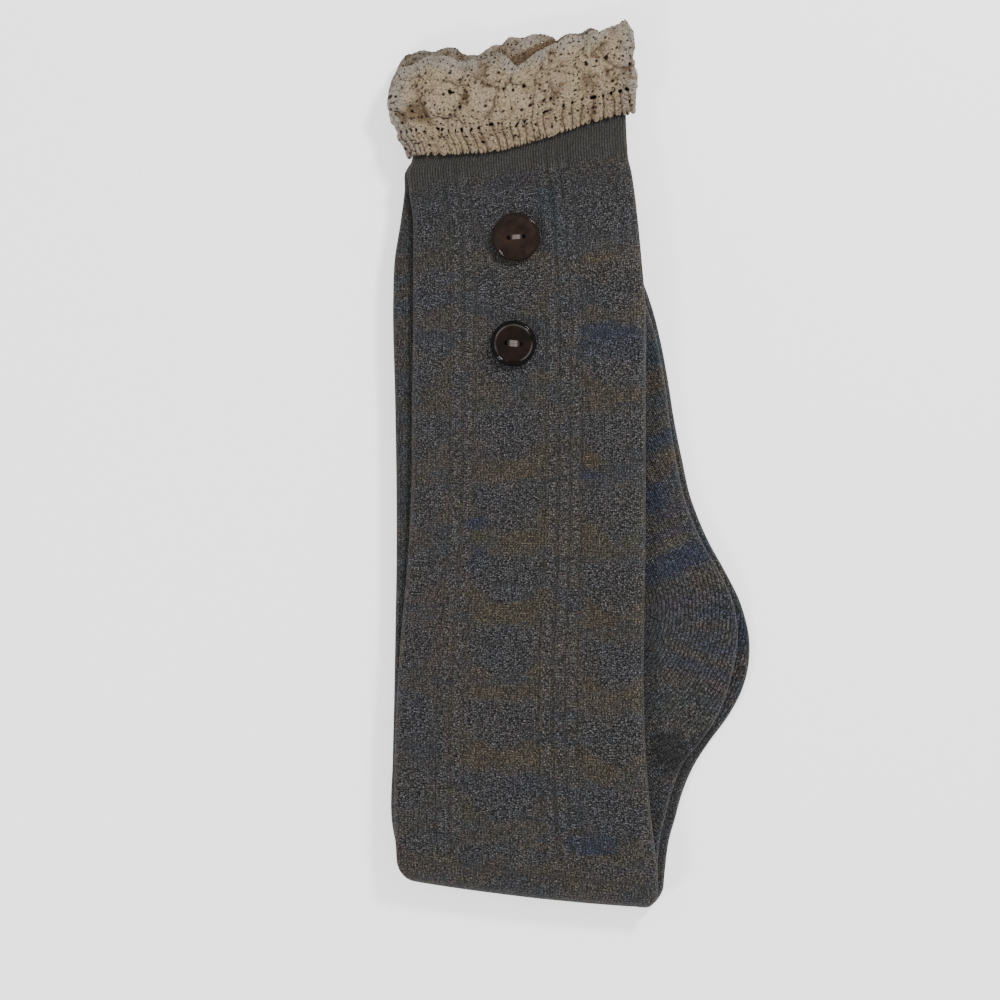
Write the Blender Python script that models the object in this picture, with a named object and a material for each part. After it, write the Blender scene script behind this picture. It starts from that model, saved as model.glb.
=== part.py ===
"""A pair of knee-high boot socks with gathered lace cuffs, folded together and laid flat.

One sock is nested in the other and the two are folded in half across the calf. The front
sock's upper leg faces up, the back sock lies inside its fold, and both lower legs, heels and
feet go back up underneath. X runs across the legs, Y up the legs, Z away from the surface
that they lie on. Sizes are in millimetres until a vertex is made.
"""
import math
from collections import namedtuple

import bmesh
import bpy
from mathutils import Vector

MM = 0.001
ORIGIN = Vector((-0.5, -0.07, 0.0))

# The flattened tube of knitted cloth
WALL = 1.5
HOLLOW = 0.4
LAYER = 2.0 * WALL + HOLLOW
LAYER_GAP = 0.4
SEAM_GAP = 0.3

# The fold, a half turn about a line that falls to the right
FOLD_LEFT = Vector((-67.2, -165.1))
FOLD_SLOPE = math.radians(6.5)
FOLD_STEPS = 8
FOLD_DRIFT = 2.6
FOLD_SAG = 1.8
CENTRE_Z = 2.0 * LAYER + 1.5 * LAYER_GAP

# The cuffs lie lower than the fold's stack of layers, beyond the toes
CUFF_Y = (104.0, 128.0)

# Relief that is raised on the front of the upper leg
RIB_HEIGHT = 0.45
MOTIF_HEIGHT = 0.3
MOTIF_PERIOD = 30.3
MOTIF_FOOT_Y = 2.5
MOTIF_ROWS = 5

Sock = namedtuple("Sock", "name radius cuff_z fold_left fold_right corner mouth_left mouth_right")
FRONT = Sock("sock_front", CENTRE_Z - 0.5 * LAYER, -1.4, -72.5, 36.5, 4.5, 138.0, 154.0)
BACK = Sock("sock_back", 0.5 * (LAYER + LAYER_GAP), -5.0, -71.5, 34.0, 2.5, 138.0, 153.0)

# Edges of the flattened upper legs at heights along the leg
Edge = namedtuple("Edge", "y front_left front_right back_left back_right")
LEG_EDGES = (
    Edge(160.0, -65.8, 22.9, -66.2, 15.5),
    Edge(133.0, -65.8, 23.6, -66.2, 16.5),
    Edge(126.5, -66.0, 24.2, -66.4, 17.0),
    Edge(122.5, -67.7, 25.2, -68.9, 18.3),
    Edge(115.0, -67.4, 26.4, -69.2, 19.5),
    Edge(101.5, -65.6, 28.0, -70.8, 21.0),
    Edge(85.0, -65.5, 29.6, -73.4, 22.5),
    Edge(68.5, -65.5, 31.0, -74.0, 24.0),
    Edge(26.5, -66.0, 31.2, -73.2, 24.0),
    Edge(-15.0, -66.5, 31.2, -72.6, 24.0),
    Edge(-40.0, -67.8, 31.1, -72.6, 24.0),
    Edge(-65.0, -70.0, 30.6, -73.0, 24.5),
    Edge(-98.5, -72.4, 30.5, -73.6, 26.0),
    Edge(-123.5, -73.2, 31.5, -74.2, 28.0),
    Edge(-148.5, -73.5, 33.6, -74.6, 31.0),
    Edge(-165.0, -72.5, 35.6, -71.8, 33.4),
    Edge(-190.0, -72.5, 37.5, -71.2, 34.4),
)

# Cross rows of the lower leg, heel and foot: instep edge, sole edge, and how far the back
# sock's sole edge lies inside the front sock's
Row = namedtuple("Row", "left_x left_y right_x right_y inset")
FOOT_ROWS = (
    Row(-62.0, -157.5, 40.0, -167.5, 3.5),
    Row(-54.5, -148.5, 41.3, -158.0, 3.9),
    Row(-47.0, -135.0, 43.8, -149.0, 4.5),
    Row(-41.0, -123.5, 47.0, -137.5, 4.5),
    Row(-36.5, -111.5, 51.7, -126.5, 4.8),
    Row(-32.5, -99.0, 58.4, -116.0, 3.4),
    Row(-30.0, -88.0, 66.5, -105.0, 4.4),
    Row(-28.5, -78.5, 72.2, -94.0, 6.0),
    Row(-27.5, -70.0, 75.0, -82.0, 6.0),
    Row(-27.5, -64.0, 74.8, -71.0, 4.8),
    Row(-27.5, -59.5, 71.5, -58.5, 3.2),
    Row(-29.0, -52.5, 65.5, -46.0, 2.6),
    Row(-31.5, -46.0, 57.8, -32.0, 2.8),
    Row(-34.5, -38.0, 51.0, -15.5, 2.7),
    Row(-38.5, -23.5, 47.0, 1.5, 2.6),
    Row(-42.0, -5.0, 43.6, 18.5, 2.0),
    Row(-45.5, 14.0, 41.0, 35.0, 1.6),
    Row(-49.0, 31.0, 38.0, 51.0, 1.6),
    Row(-51.5, 47.0, 34.2, 66.0, 2.0),
    Row(-52.5, 62.0, 29.0, 79.5, 2.5),
    Row(-50.5, 75.5, 22.0, 90.5, 3.0),
    Row(-44.5, 87.5, 11.5, 99.0, 3.5),
    Row(-36.0, 96.5, 1.5, 104.5, 3.0),
    Row(-28.0, 101.5, -6.0, 106.5, 2.0),
)
BACK_INSTEP_INSET = 1.5
BACK_TOE_SET = Vector((1.0, -4.5))
TOE_ROWS = 3

# Across the front: fraction of the width, whether it is a rib's crest, and the motif panel
# that it belongs to, as a signed distance from the panel's middle
Across = namedtuple("Across", "at rib panel")
ACROSS = (
    Across(0.020, 0, 0.35),
    Across(0.055, 0, 0.55),
    Across(0.100, 0, 0.78),
    Across(0.140, 0, None),
    Across(0.158, 0, None),
    Across(0.166, 1, None),
    Across(0.190, 1, None),
    Across(0.200, 0, None),
    Across(0.212, 0, None),
    Across(0.222, 1, None),
    Across(0.246, 1, None),
    Across(0.256, 0, None),
    Across(0.285, 0, -0.88),
    Across(0.322, 0, -0.64),
    Across(0.365, 0, -0.36),
    Across(0.420, 0, 0.0),
    Across(0.475, 0, 0.36),
    Across(0.518, 0, 0.64),
    Across(0.555, 0, 0.88),
    Across(0.580, 0, None),
    Across(0.588, 1, None),
    Across(0.618, 1, None),
    Across(0.628, 0, None),
    Across(0.640, 0, None),
    Across(0.650, 1, None),
    Across(0.674, 1, None),
    Across(0.684, 0, None),
    Across(0.698, 1, None),
    Across(0.722, 1, None),
    Across(0.732, 0, None),
    Across(0.765, 0, -0.85),
    Across(0.805, 0, -0.6),
    Across(0.850, 0, -0.3),
    Across(0.895, 0, 0.0),
    Across(0.935, 0, 0.28),
    Across(0.975, 0, 0.55),
)
PLAIN_ACROSS = (0.03, 0.22, 0.5, 0.78, 0.97)
INNER_ACROSS = (0.2, 0.5, 0.8)

# The lace: heights of its edges across the cuff, as fractions of the width
Top = namedtuple("Top", "at low front_top rear_top back_top")
LACE_TOPS = (
    Top(0.00, 129.0, 164.5, 162.0, 166.5),
    Top(0.04, 129.2, 166.0, 163.5, 171.2),
    Top(0.08, 129.3, 167.4, 164.0, 172.0),
    Top(0.17, 129.6, 169.8, 166.0, 172.8),
    Top(0.27, 130.0, 167.2, 166.0, 172.6),
    Top(0.35, 130.6, 167.6, 171.5, 170.0),
    Top(0.43, 131.8, 171.6, 175.5, 168.0),
    Top(0.50, 133.5, 169.0, 177.6, 169.0),
    Top(0.56, 135.3, 167.6, 178.8, 171.0),
    Top(0.64, 137.8, 173.5, 178.0, 174.0),
    Top(0.72, 140.2, 177.0, 176.0, 177.5),
    Top(0.80, 142.6, 178.8, 176.5, 180.6),
    Top(0.88, 144.8, 180.0, 177.0, 181.2),
    Top(0.95, 146.2, 184.6, 179.0, 180.0),
    Top(1.00, 147.2, 179.0, 175.0, 175.0),
)

# Rows up the lace: fraction of its height, outward bulge of its two sides, and how much of
# the small gathers and of the large ruffles shows there
Up = namedtuple("Up", "at left right gathers ruffles")
LACE_ROWS = (
    Up(0.00, 0.2, 0.0, 1.0, 0.0),
    Up(0.11, 2.0, 0.2, 1.0, 0.0),
    Up(0.23, 4.2, 0.4, 0.6, 0.1),
    Up(0.34, 6.3, 0.6, 0.1, 0.6),
    Up(0.47, 7.4, 0.8, 0.0, 1.0),
    Up(0.60, 7.2, 1.2, 0.0, 0.8),
    Up(0.70, 6.0, 1.0, 0.0, 0.15),
    Up(0.84, 4.6, -0.6, 0.0, 1.0),
    Up(1.00, 2.8, -1.6, 0.0, 0.8),
)
Lace = namedtuple("Lace", "name sock left right ribs ruffles thin front_thick rear_thick mouth_gap")
LACES = (
    Lace("lace_front", FRONT, -68.2, 26.6, 26, 9, 1.1, 3.0, 1.9, 2.8),
    Lace("lace_back", BACK, -68.6, 22.5, 16, 7, 1.1, 2.0, 2.9, 2.6),
)
LACE_KNIT_SHARE = 0.3
LACE_EDGE_WALL = 1.6
OUTER_EDGE = 0.034
INNER_EDGE = 0.018

# The buttons
Button = namedtuple("Button", "name x y radius rim_width turn_deg")
BUTTONS = (
    Button("button_upper", -22.7, 94.2, 10.0, 1.2, 4.0),
    Button("button_lower", -23.8, 50.0, 9.5, 1.5, -6.0),
)
BUTTON_HEIGHT = 3.2
BUTTON_DISH = 1.3
BUTTON_SIDES = 32
HOLE_SPACING = 6.4
HOLE_RADIUS = 0.95

COLOURS = {
    "sock_front": ((0.060, 0.056, 0.053, 1.0), 0.92),
    "sock_back": ((0.050, 0.050, 0.051, 1.0), 0.92),
    "lace_front": ((0.46, 0.38, 0.28, 1.0), 0.88),
    "lace_back": ((0.40, 0.35, 0.28, 1.0), 0.88),
    "button_upper": ((0.060, 0.030, 0.020, 1.0), 0.22),
    "button_lower": ((0.040, 0.020, 0.014, 1.0), 0.18),
}


def mix(a, b, t):
    return a + (b - a) * t


def smooth(low, high, value):
    t = min(max((value - low) / (high - low), 0.0), 1.0)
    return t * t * (3.0 - 2.0 * t)


def from_table(rows, key, column, value):
    """Linear look-up of one named column; the key column may rise or fall."""
    rows = sorted(rows, key=lambda row: getattr(row, key))
    value = min(max(value, getattr(rows[0], key)), getattr(rows[-1], key))
    for low, high in zip(rows, rows[1:]):
        a, b = getattr(low, key), getattr(high, key)
        if value <= b:
            return mix(getattr(low, column), getattr(high, column), (value - a) / (b - a))
    return getattr(rows[-1], column)


def leg_height(sock, y):
    """Height of the middle of a sock's upper leg, which steps to the cuff's beyond the toes."""
    return CENTRE_Z + sock.radius + sock.cuff_z * smooth(CUFF_Y[0], CUFF_Y[1], y)


class Station:
    """One cross section of a flattened tube: its two edges, its up direction and thickness."""

    def __init__(self, left, right, up, thickness=LAYER, heights=None, relief=0.0, phase=0.0,
                 sag=None):
        self.left = left
        self.right = right
        self.up = up
        self.thickness = thickness
        self.heights = heights
        self.relief = relief
        self.phase = phase
        self.sag = sag or Vector((0, 0, 0))

    def point(self, inset, at, offset):
        """The point at a fraction across, between edges moved in by inset, offset upward."""
        across = (self.right - self.left).normalized()
        left = self.left + across * inset
        right = self.right - across * inset
        spot = left.lerp(right, at) + self.sag * (4.0 * at * (1.0 - at))
        if self.heights is not None:
            spot.z = self.heights(spot.y)
        return spot + self.up * offset

    def ring(self, thickness, inset, front, back, relief=False):
        """Points around the flattened tube, each with its place round the ring from 0 to 1."""
        half = 0.5 * thickness
        points = [(0.0, self.point(inset, 0.0, 0.0))]
        corner = inset + half
        diagonal = inset + half * (1.0 - math.cos(math.radians(45.0)))
        rise = half * math.sin(math.radians(45.0))
        if inset == 0.0:
            points.append((0.004, self.point(diagonal, 0.0, rise)))
            points.append((0.008, self.point(corner, 0.0, half)))
        for column in front:
            at = column.at if relief else column
            extra = self.raised(column) if relief else 0.0
            points.append((mix(0.01, 0.49, at), self.point(corner, at, half + extra)))
        if inset == 0.0:
            points.append((0.492, self.point(corner, 1.0, half)))
            points.append((0.496, self.point(diagonal, 1.0, rise)))
        points.append((0.5, self.point(inset, 1.0, 0.0)))
        if inset == 0.0:
            points.append((0.504, self.point(diagonal, 1.0, -rise)))
            points.append((0.508, self.point(corner, 1.0, -half)))
        for at in reversed(back):
            points.append((mix(0.99, 0.51, at), self.point(corner, at, -half)))
        if inset == 0.0:
            points.append((0.992, self.point(corner, 0.0, -half)))
            points.append((0.996, self.point(diagonal, 0.0, -rise)))
        return points

    def raised(self, column):
        """Relief of the rib columns, and of the shell motifs in the panels between them."""
        if column.rib:
            return RIB_HEIGHT * self.relief
        if column.panel is None:
            return 0.0
        width = motif_width(self.phase)
        return MOTIF_HEIGHT * self.relief if abs(column.panel) < width else 0.0


def motif_width(phase):
    """Half width of a shell at a fraction of its height: pointed below, flat on top."""
    if phase > 0.75:
        return 0.0
    return math.sin(min(phase / 0.45, 1.0) * 0.5 * math.pi)


def leg_stations(sock, middles, relief):
    """Cross sections of the upper leg, from the mouth down to the fold line."""
    side = "front" if sock is FRONT else "back"
    fold_left = fold_point(sock.fold_left)
    fold_right = fold_point(sock.fold_right)
    top = mix(sock.mouth_left, sock.mouth_right, 0.42)
    bottom = mix(fold_left.y, fold_right.y, 0.42)
    stations = []
    for middle in middles:
        t = (top - middle) / (top - bottom)
        left_y = mix(sock.mouth_left, fold_left.y, t)
        right_y = mix(sock.mouth_right, fold_right.y, t)
        left = Vector((from_table(LEG_EDGES, "y", side + "_left", left_y), left_y, 0.0))
        right = Vector((from_table(LEG_EDGES, "y", side + "_right", right_y), right_y, 0.0))
        fade = smooth(0.0, 9.0, middle - bottom) * smooth(0.0, 8.0, CUFF_Y[1] + 5.0 - middle)
        phase = ((middle - MOTIF_FOOT_Y) / MOTIF_PERIOD) % 1.0
        heights = lambda y, s=sock: leg_height(s, y)
        stations.append(Station(left, right, Vector((0, 0, 1)), LAYER, heights, relief * fade, phase))
    return stations


def fold_point(x):
    """The point of the fold's axis line at x."""
    return Vector((x, FOLD_LEFT.y - math.tan(FOLD_SLOPE) * (x - FOLD_LEFT.x), 0.0))


def fold_stations(sock):
    """The half turn about the fold line."""
    inward = Vector((math.sin(FOLD_SLOPE), math.cos(FOLD_SLOPE), 0.0))
    stations = []
    for step in range(FOLD_STEPS + 1):
        turn = math.pi * step / FOLD_STEPS
        drift = FOLD_DRIFT * step / FOLD_STEPS
        outward = Vector((0, 0, 1)) * math.cos(turn) - inward * math.sin(turn)
        centre = Vector((0, 0, CENTRE_Z)) + outward * sock.radius
        left = fold_point(sock.fold_left + drift + sock.corner * math.sin(turn)) + centre
        right = fold_point(sock.fold_right + drift) + centre
        sag = -inward * FOLD_SAG * math.sin(turn) if sock is FRONT else None
        stations.append(Station(left, right, outward, sag=sag))
    return stations


def foot_stations(sock):
    """Lower leg, heel, foot and toe, running back up under the upper leg."""
    z = CENTRE_Z - sock.radius
    stations = []
    for index, row in enumerate(FOOT_ROWS):
        left = Vector((row.left_x, row.left_y, z))
        right = Vector((row.right_x, row.right_y, z))
        if sock is BACK:
            across = (right - left).normalized()
            left += across * BACK_INSTEP_INSET
            right -= across * row.inset
            share = smooth(0.6, 1.0, index / (len(FOOT_ROWS) - 1))
            shift = Vector((BACK_TOE_SET.x, BACK_TOE_SET.y, 0.0)) * share
            left += shift
            right += shift
        last = len(FOOT_ROWS) - 1 - index
        thickness = LAYER * (1.0 if last >= TOE_ROWS else mix(0.55, 1.0, last / TOE_ROWS))
        stations.append(Station(left, right, Vector((0, 0, -1)), thickness))
    if sock is FRONT:
        for station in stations[-TOE_ROWS:]:
            rest = 0.5 * station.thickness
            station.left.z = rest
            station.right.z = rest
    return stations


def make_ring(bm, points):
    return [(at, bm.verts.new((spot - ORIGIN) * MM)) for at, spot in points]


def skin(bm, first, second):
    """Faces between two rings that may hold different numbers of points."""
    i = j = 0
    while i < len(first) or j < len(second):
        a = first[i % len(first)][1]
        b = second[j % len(second)][1]
        next_a = first[(i + 1) % len(first)][1]
        next_b = second[(j + 1) % len(second)][1]
        place_a = first[i + 1][0] if i + 1 < len(first) else 1.0 if i < len(first) else 9.0
        place_b = second[j + 1][0] if j + 1 < len(second) else 1.0 if j < len(second) else 9.0
        if abs(place_a - place_b) < 1e-5:
            bm.faces.new((a, next_a, next_b, b))
            i += 1
            j += 1
        elif place_a < place_b:
            bm.faces.new((a, next_a, b))
            i += 1
        else:
            bm.faces.new((a, next_b, b))
            j += 1


def skin_all(bm, rings):
    for first, second in zip(rings, rings[1:]):
        skin(bm, first, second)


def add_object(name, bm):
    """An object of its own material from a closed mesh, with its faces turned outward."""
    bmesh.ops.recalc_face_normals(bm, faces=bm.faces)
    mesh = bpy.data.meshes.new(name)
    bm.to_mesh(mesh)
    bm.free()
    colour, roughness = COLOURS[name]
    material = bpy.data.materials.new(name)
    material.use_nodes = True
    shader = material.node_tree.nodes["Principled BSDF"]
    shader.inputs["Base Color"].default_value = colour
    shader.inputs["Roughness"].default_value = roughness
    material.diffuse_color = colour
    mesh.materials.append(material)
    obj = bpy.data.objects.new(name, mesh)
    bpy.context.scene.collection.objects.link(obj)
    return obj


def add_sock(sock):
    """A knitted tube with an open mouth and a closed toe, bent round the fold."""
    front = sock is FRONT
    fold_middle = mix(fold_point(sock.fold_left).y, fold_point(sock.fold_right).y, 0.42)
    mouth_middle = mix(sock.mouth_left, sock.mouth_right, 0.42)
    if front:
        step = MOTIF_PERIOD / MOTIF_ROWS
        first = math.floor((mouth_middle - 2.0 - MOTIF_FOOT_Y) / step)
        middles = [mouth_middle] + [MOTIF_FOOT_Y + step * (first - k) for k in range(60)]
        middles = [middle for middle in middles if middle > fold_middle + 3.0]
    else:
        middles = [mouth_middle, 139.0, 133.0, 128.5, 125.0, 121.5, 118.0, 114.5, 111.0, 107.5]
        middles += [103.5, 86.0, 69.0, 40.0, 10.0, -20.0, -45.0, -65.0, -98.0, -124.0, -148.0]
    leg = leg_stations(sock, middles, 1.0 if front else 0.0)
    rest = fold_stations(sock) + foot_stations(sock)
    bm = bmesh.new()
    rings = [make_ring(bm, s.ring(LAYER, 0.0, ACROSS if front else PLAIN_ACROSS, PLAIN_ACROSS, front))
             for s in leg]
    rings += [make_ring(bm, s.ring(s.thickness, 0.0, PLAIN_ACROSS, PLAIN_ACROSS)) for s in rest]
    skin_all(bm, rings)
    bm.faces.new([vert for place, vert in rings[-1]])
    last_in = len(rest) - TOE_ROWS - 1
    keep = [s for k, s in enumerate(leg) if k < 8 or k % 4 == 0 or not front]
    inner = [make_ring(bm, s.ring(HOLLOW, WALL, INNER_ACROSS, INNER_ACROSS)) for s in keep + rest[:last_in]]
    skin_all(bm, inner)
    bm.faces.new([vert for place, vert in inner[-1]])
    skin(bm, rings[0], inner[0])
    return add_object(sock.name, bm)


def lace_spot(lace, at, up, rear):
    """Place of the lace's inner face over the cuff, seen from above, and its middle height."""
    rows = LACE_TOPS
    low = from_table(rows, "at", "low", at)
    column = ("rear_top" if rear else "front_top") if lace.sock is FRONT else "back_top"
    top = from_table(rows, "at", column, at)
    left = lace.left - from_table(LACE_ROWS, "at", "left", up)
    right = lace.right + from_table(LACE_ROWS, "at", "right", up)
    y = mix(low, top, up)
    return Vector((mix(left, right, at), y, leg_height(lace.sock, y)))


def lace_wave(lace, at, up):
    """Outward relief from 0 to 1: small gathers in the band, then puffs and a ruffled edge."""
    gathers = from_table(LACE_ROWS, "at", "gathers", up)
    ruffles = from_table(LACE_ROWS, "at", "ruffles", up)
    small = 0.5 - 0.5 * math.cos(2.0 * math.pi * lace.ribs * at)
    sway = at + 0.02 * math.sin(9.0 * at + 4.0 * up)
    large = 0.5 - 0.5 * math.cos(2.0 * math.pi * lace.ruffles * sway + 2.5 * smooth(0.6, 0.8, up))
    return gathers * 0.45 * small + ruffles * (0.35 + 0.65 * large)


def lace_half(lace, up):
    """Half of the inner height of the flattened ring: over the knit, then closing in."""
    knit = 0.5 * LAYER + SEAM_GAP
    return mix(knit, 0.5 * lace.mouth_gap, smooth(LACE_KNIT_SHARE, LACE_KNIT_SHARE + 0.12, up))


def lace_places(columns, edge):
    """Fractions across one side of the lace, closer together round its folded edges."""
    even = [step / columns for step in range(columns)]
    close = [0.25 * edge, edge, 1.0 - edge, 1.0 - 0.25 * edge]
    return sorted(even + [at for at in close if min(abs(at - other) for other in even) > 0.003])


def lace_ring(lace, up, columns, outer):
    """One ring of the lace, outer or inner, round the flattened cuff."""
    half = lace_half(lace, up)
    edge = OUTER_EDGE if outer else INNER_EDGE
    middle = 0.5 * (lace.left + lace.right)
    squeeze = 1.0 if outer else 1.0 - 2.0 * LACE_EDGE_WALL / (lace.right - lace.left)
    points = []
    for rear in (False, True):
        thick = lace.rear_thick if rear else lace.front_thick
        for place in lace_places(columns, edge):
            at = 1.0 - place if rear else place
            near = min(at, 1.0 - at)
            spot = lace_spot(lace, at, up, rear)
            other = lace_spot(lace, at, up, not rear)
            spot.y = mix(mix(spot.y, other.y, 0.5), spot.y, smooth(0.0, 0.06, near))
            spot.x = middle + (spot.x - middle) * squeeze
            wall = lace.thin + (thick - lace.thin) * lace_wave(lace, at, up) if outer else 0.0
            close = math.sqrt(1.0 - (1.0 - min(near / edge, 1.0)) ** 2)
            spot.z += (-1.0 if rear else 1.0) * (half + wall) * close
            spot.z = max(spot.z, 0.0 if outer else lace.thin)
            points.append((0.5 * place + (0.5 if rear else 0.0), spot))
    return points


def add_lace(lace):
    """A gathered ring of lace that is sewn over the cuff and ruffles out beyond its mouth."""
    bm = bmesh.new()
    columns = 2 * lace.ribs
    outer = [make_ring(bm, lace_ring(lace, row.at, columns, True)) for row in LACE_ROWS]
    ups = (0.0, 0.23, 0.34, 0.47, 0.7, 1.0)
    inner = [make_ring(bm, lace_ring(lace, up, columns // 2, False)) for up in ups]
    skin_all(bm, outer)
    skin_all(bm, inner)
    skin(bm, outer[0], inner[0])
    skin(bm, outer[-1], inner[-1])
    return add_object(lace.name, bm)


def add_button(button):
    """A dished button with a raised rim and two sewing holes, turned from its profile."""
    r = button.radius
    top = BUTTON_HEIGHT
    floor = top - BUTTON_DISH
    profile = (
        (0.0, 0.0),
        (0.62 * r, 0.0),
        (0.88 * r, 0.5),
        (r, 1.6),
        (0.985 * r, 2.5),
        (r - 0.5 * button.rim_width, top),
        (r - button.rim_width, 0.93 * top),
        (0.70 * r, floor + 0.15),
        (0.45 * r, floor),
        (0.0, floor),
    )
    bm = bmesh.new()
    verts = [bm.verts.new((radius * MM, 0.0, z * MM)) for radius, z in profile]
    edges = [bm.edges.new(pair) for pair in zip(verts, verts[1:])]
    bmesh.ops.spin(bm, geom=verts + edges, cent=(0, 0, 0), axis=(0, 0, 1), dvec=(0, 0, 0),
                   angle=2.0 * math.pi, steps=BUTTON_SIDES, use_merge=True)
    bmesh.ops.remove_doubles(bm, verts=bm.verts, dist=1e-6)
    obj = add_object(button.name, bm)
    for number, side in enumerate((-1.0, 1.0)):
        cut_hole(obj, side * 0.5 * HOLE_SPACING, number)
    seat = CENTRE_Z + FRONT.radius + 0.5 * LAYER + MOTIF_HEIGHT + SEAM_GAP
    obj.location = (Vector((button.x, button.y, seat)) - ORIGIN) * MM
    obj.rotation_euler.z = math.radians(button.turn_deg)
    return obj


def cut_hole(obj, x, number):
    """Cut one sewing hole and drop the cutter."""
    bpy.ops.mesh.primitive_cylinder_add(vertices=10, radius=HOLE_RADIUS * MM, depth=20.0 * MM,
                                        location=(x * MM, 0.0, 0.0))
    cutter = bpy.context.object
    modifier = obj.modifiers.new(f"hole_{number}", "BOOLEAN")
    modifier.operation = "DIFFERENCE"
    modifier.solver = "EXACT"
    modifier.object = cutter
    bpy.context.view_layer.objects.active = obj
    bpy.ops.object.modifier_apply(modifier=modifier.name)
    bpy.data.objects.remove(cutter)


def main():
    for obj in list(bpy.data.objects):
        bpy.data.objects.remove(obj)
    for sock in (FRONT, BACK):
        add_sock(sock)
    for lace in LACES:
        add_lace(lace)
    for button in BUTTONS:
        add_button(button)


if __name__ == "__main__":
    main()
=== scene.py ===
"""A folded pair of knee-high boot socks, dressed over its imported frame.

Two knitted tubes lie nested and folded together, each with a gathered lace cuff, and two
glossy buttons are sewn on the front one. Run as a script, it registers its operators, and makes
every piece and the stage.
"""
import math
from collections import namedtuple
from contextlib import contextmanager
from functools import partialmethod

import bmesh
import bpy
import numpy as np
from mathutils import Matrix, Vector


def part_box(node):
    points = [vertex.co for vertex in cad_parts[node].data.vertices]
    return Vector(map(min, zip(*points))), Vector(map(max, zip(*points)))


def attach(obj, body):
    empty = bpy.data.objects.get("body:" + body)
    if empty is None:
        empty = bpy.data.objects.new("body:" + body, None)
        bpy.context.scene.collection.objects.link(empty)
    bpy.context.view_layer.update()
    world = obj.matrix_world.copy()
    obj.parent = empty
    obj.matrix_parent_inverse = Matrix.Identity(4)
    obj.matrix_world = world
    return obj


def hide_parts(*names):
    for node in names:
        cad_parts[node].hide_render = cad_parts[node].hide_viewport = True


bl_info = {
    "name": "Folded Boot Socks",
    "version": (1, 0, 0),
    "blender": (4, 5, 0),
    "location": "3D View > Sidebar > Socks",
    "description": "Knitted boot socks with lace cuffs, folded together, with their stage",
    "category": "Object",
}

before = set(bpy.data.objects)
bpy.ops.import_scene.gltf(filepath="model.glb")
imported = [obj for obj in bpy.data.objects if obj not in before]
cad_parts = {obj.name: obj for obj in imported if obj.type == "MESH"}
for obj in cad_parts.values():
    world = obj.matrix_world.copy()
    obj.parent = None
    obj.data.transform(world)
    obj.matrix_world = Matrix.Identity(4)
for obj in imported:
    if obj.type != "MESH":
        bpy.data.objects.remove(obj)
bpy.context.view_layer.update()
BODY = "root"

# Every size below is in millimetres, and a vertex is made in metres
MM = 0.001
SOCK_LOW, SOCK_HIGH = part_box("sock_front")
HEEL_X = 75.0
FOLD_LOW_Y = -184.22
SHIFT = np.array((HEEL_X - SOCK_HIGH.x / MM, FOLD_LOW_Y - SOCK_LOW.y / MM, 0.0))

# The flattened tube of knitted cloth
WALL = 1.5
HOLLOW = 0.4
LAYER = 2.0 * WALL + HOLLOW
LAYER_GAP = 0.4
SEAM_GAP = 0.3
COURSE = 1.0
CUFF_Y = (104.0, 128.0)

# The fold, a half turn about a line that falls to the right
FOLD_LEFT = (-67.2, -165.1)
FOLD_SLOPE = math.radians(6.5)
FOLD_STEPS = 24
FOLD_DRIFT = 2.6
FOLD_SAG = 1.2
FOLD_BULGE = 1.5
CENTRE_Z = 2.0 * LAYER + 1.5 * LAYER_GAP
MIDDLE = 0.42

# Each sock: radius of its turn at the fold, height of its cuff beside the stack, ends and corner
# of its fold, and heights of its mouth's ends
Sock = namedtuple("Sock", """name node side radius cuff_z
                  fold_left fold_right corner mouth_left mouth_right""")
FRONT = Sock("front_knit", "sock_front", "front", CENTRE_Z - 0.5 * LAYER, -1.4,
             -72.5, 36.5, 4.5, 138.0, 154.0)
BACK = Sock("back_knit", "sock_back", "back", 0.5 * (LAYER + LAYER_GAP), -5.0,
            -71.5, 34.0, 2.5, 138.0, 153.0)

# Edges of the flattened upper legs at heights along the leg
Edge = namedtuple("Edge", "y front_left front_right back_left back_right")
LEG_EDGES = (
    Edge(160.0, -65.8, 22.9, -66.2, 15.5),
    Edge(133.0, -65.8, 23.6, -66.2, 16.5),
    Edge(126.5, -66.0, 24.2, -66.4, 17.0),
    Edge(122.5, -67.7, 25.2, -68.9, 18.3),
    Edge(115.0, -67.4, 26.4, -69.2, 19.5),
    Edge(101.5, -65.6, 28.0, -70.8, 21.0),
    Edge(85.0, -65.5, 29.6, -73.4, 22.5),
    Edge(68.5, -65.5, 31.0, -74.0, 24.0),
    Edge(26.5, -66.0, 31.2, -73.2, 24.0),
    Edge(-15.0, -66.5, 31.2, -72.6, 24.0),
    Edge(-40.0, -67.8, 31.1, -72.6, 24.0),
    Edge(-65.0, -70.0, 30.6, -73.0, 24.5),
    Edge(-98.5, -72.4, 30.5, -73.6, 26.0),
    Edge(-123.5, -73.2, 31.5, -74.2, 28.0),
    Edge(-148.5, -73.5, 33.6, -74.6, 31.0),
    Edge(-165.0, -72.5, 35.6, -71.8, 33.4),
    Edge(-190.0, -72.5, 37.5, -71.2, 34.4),
)

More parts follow.
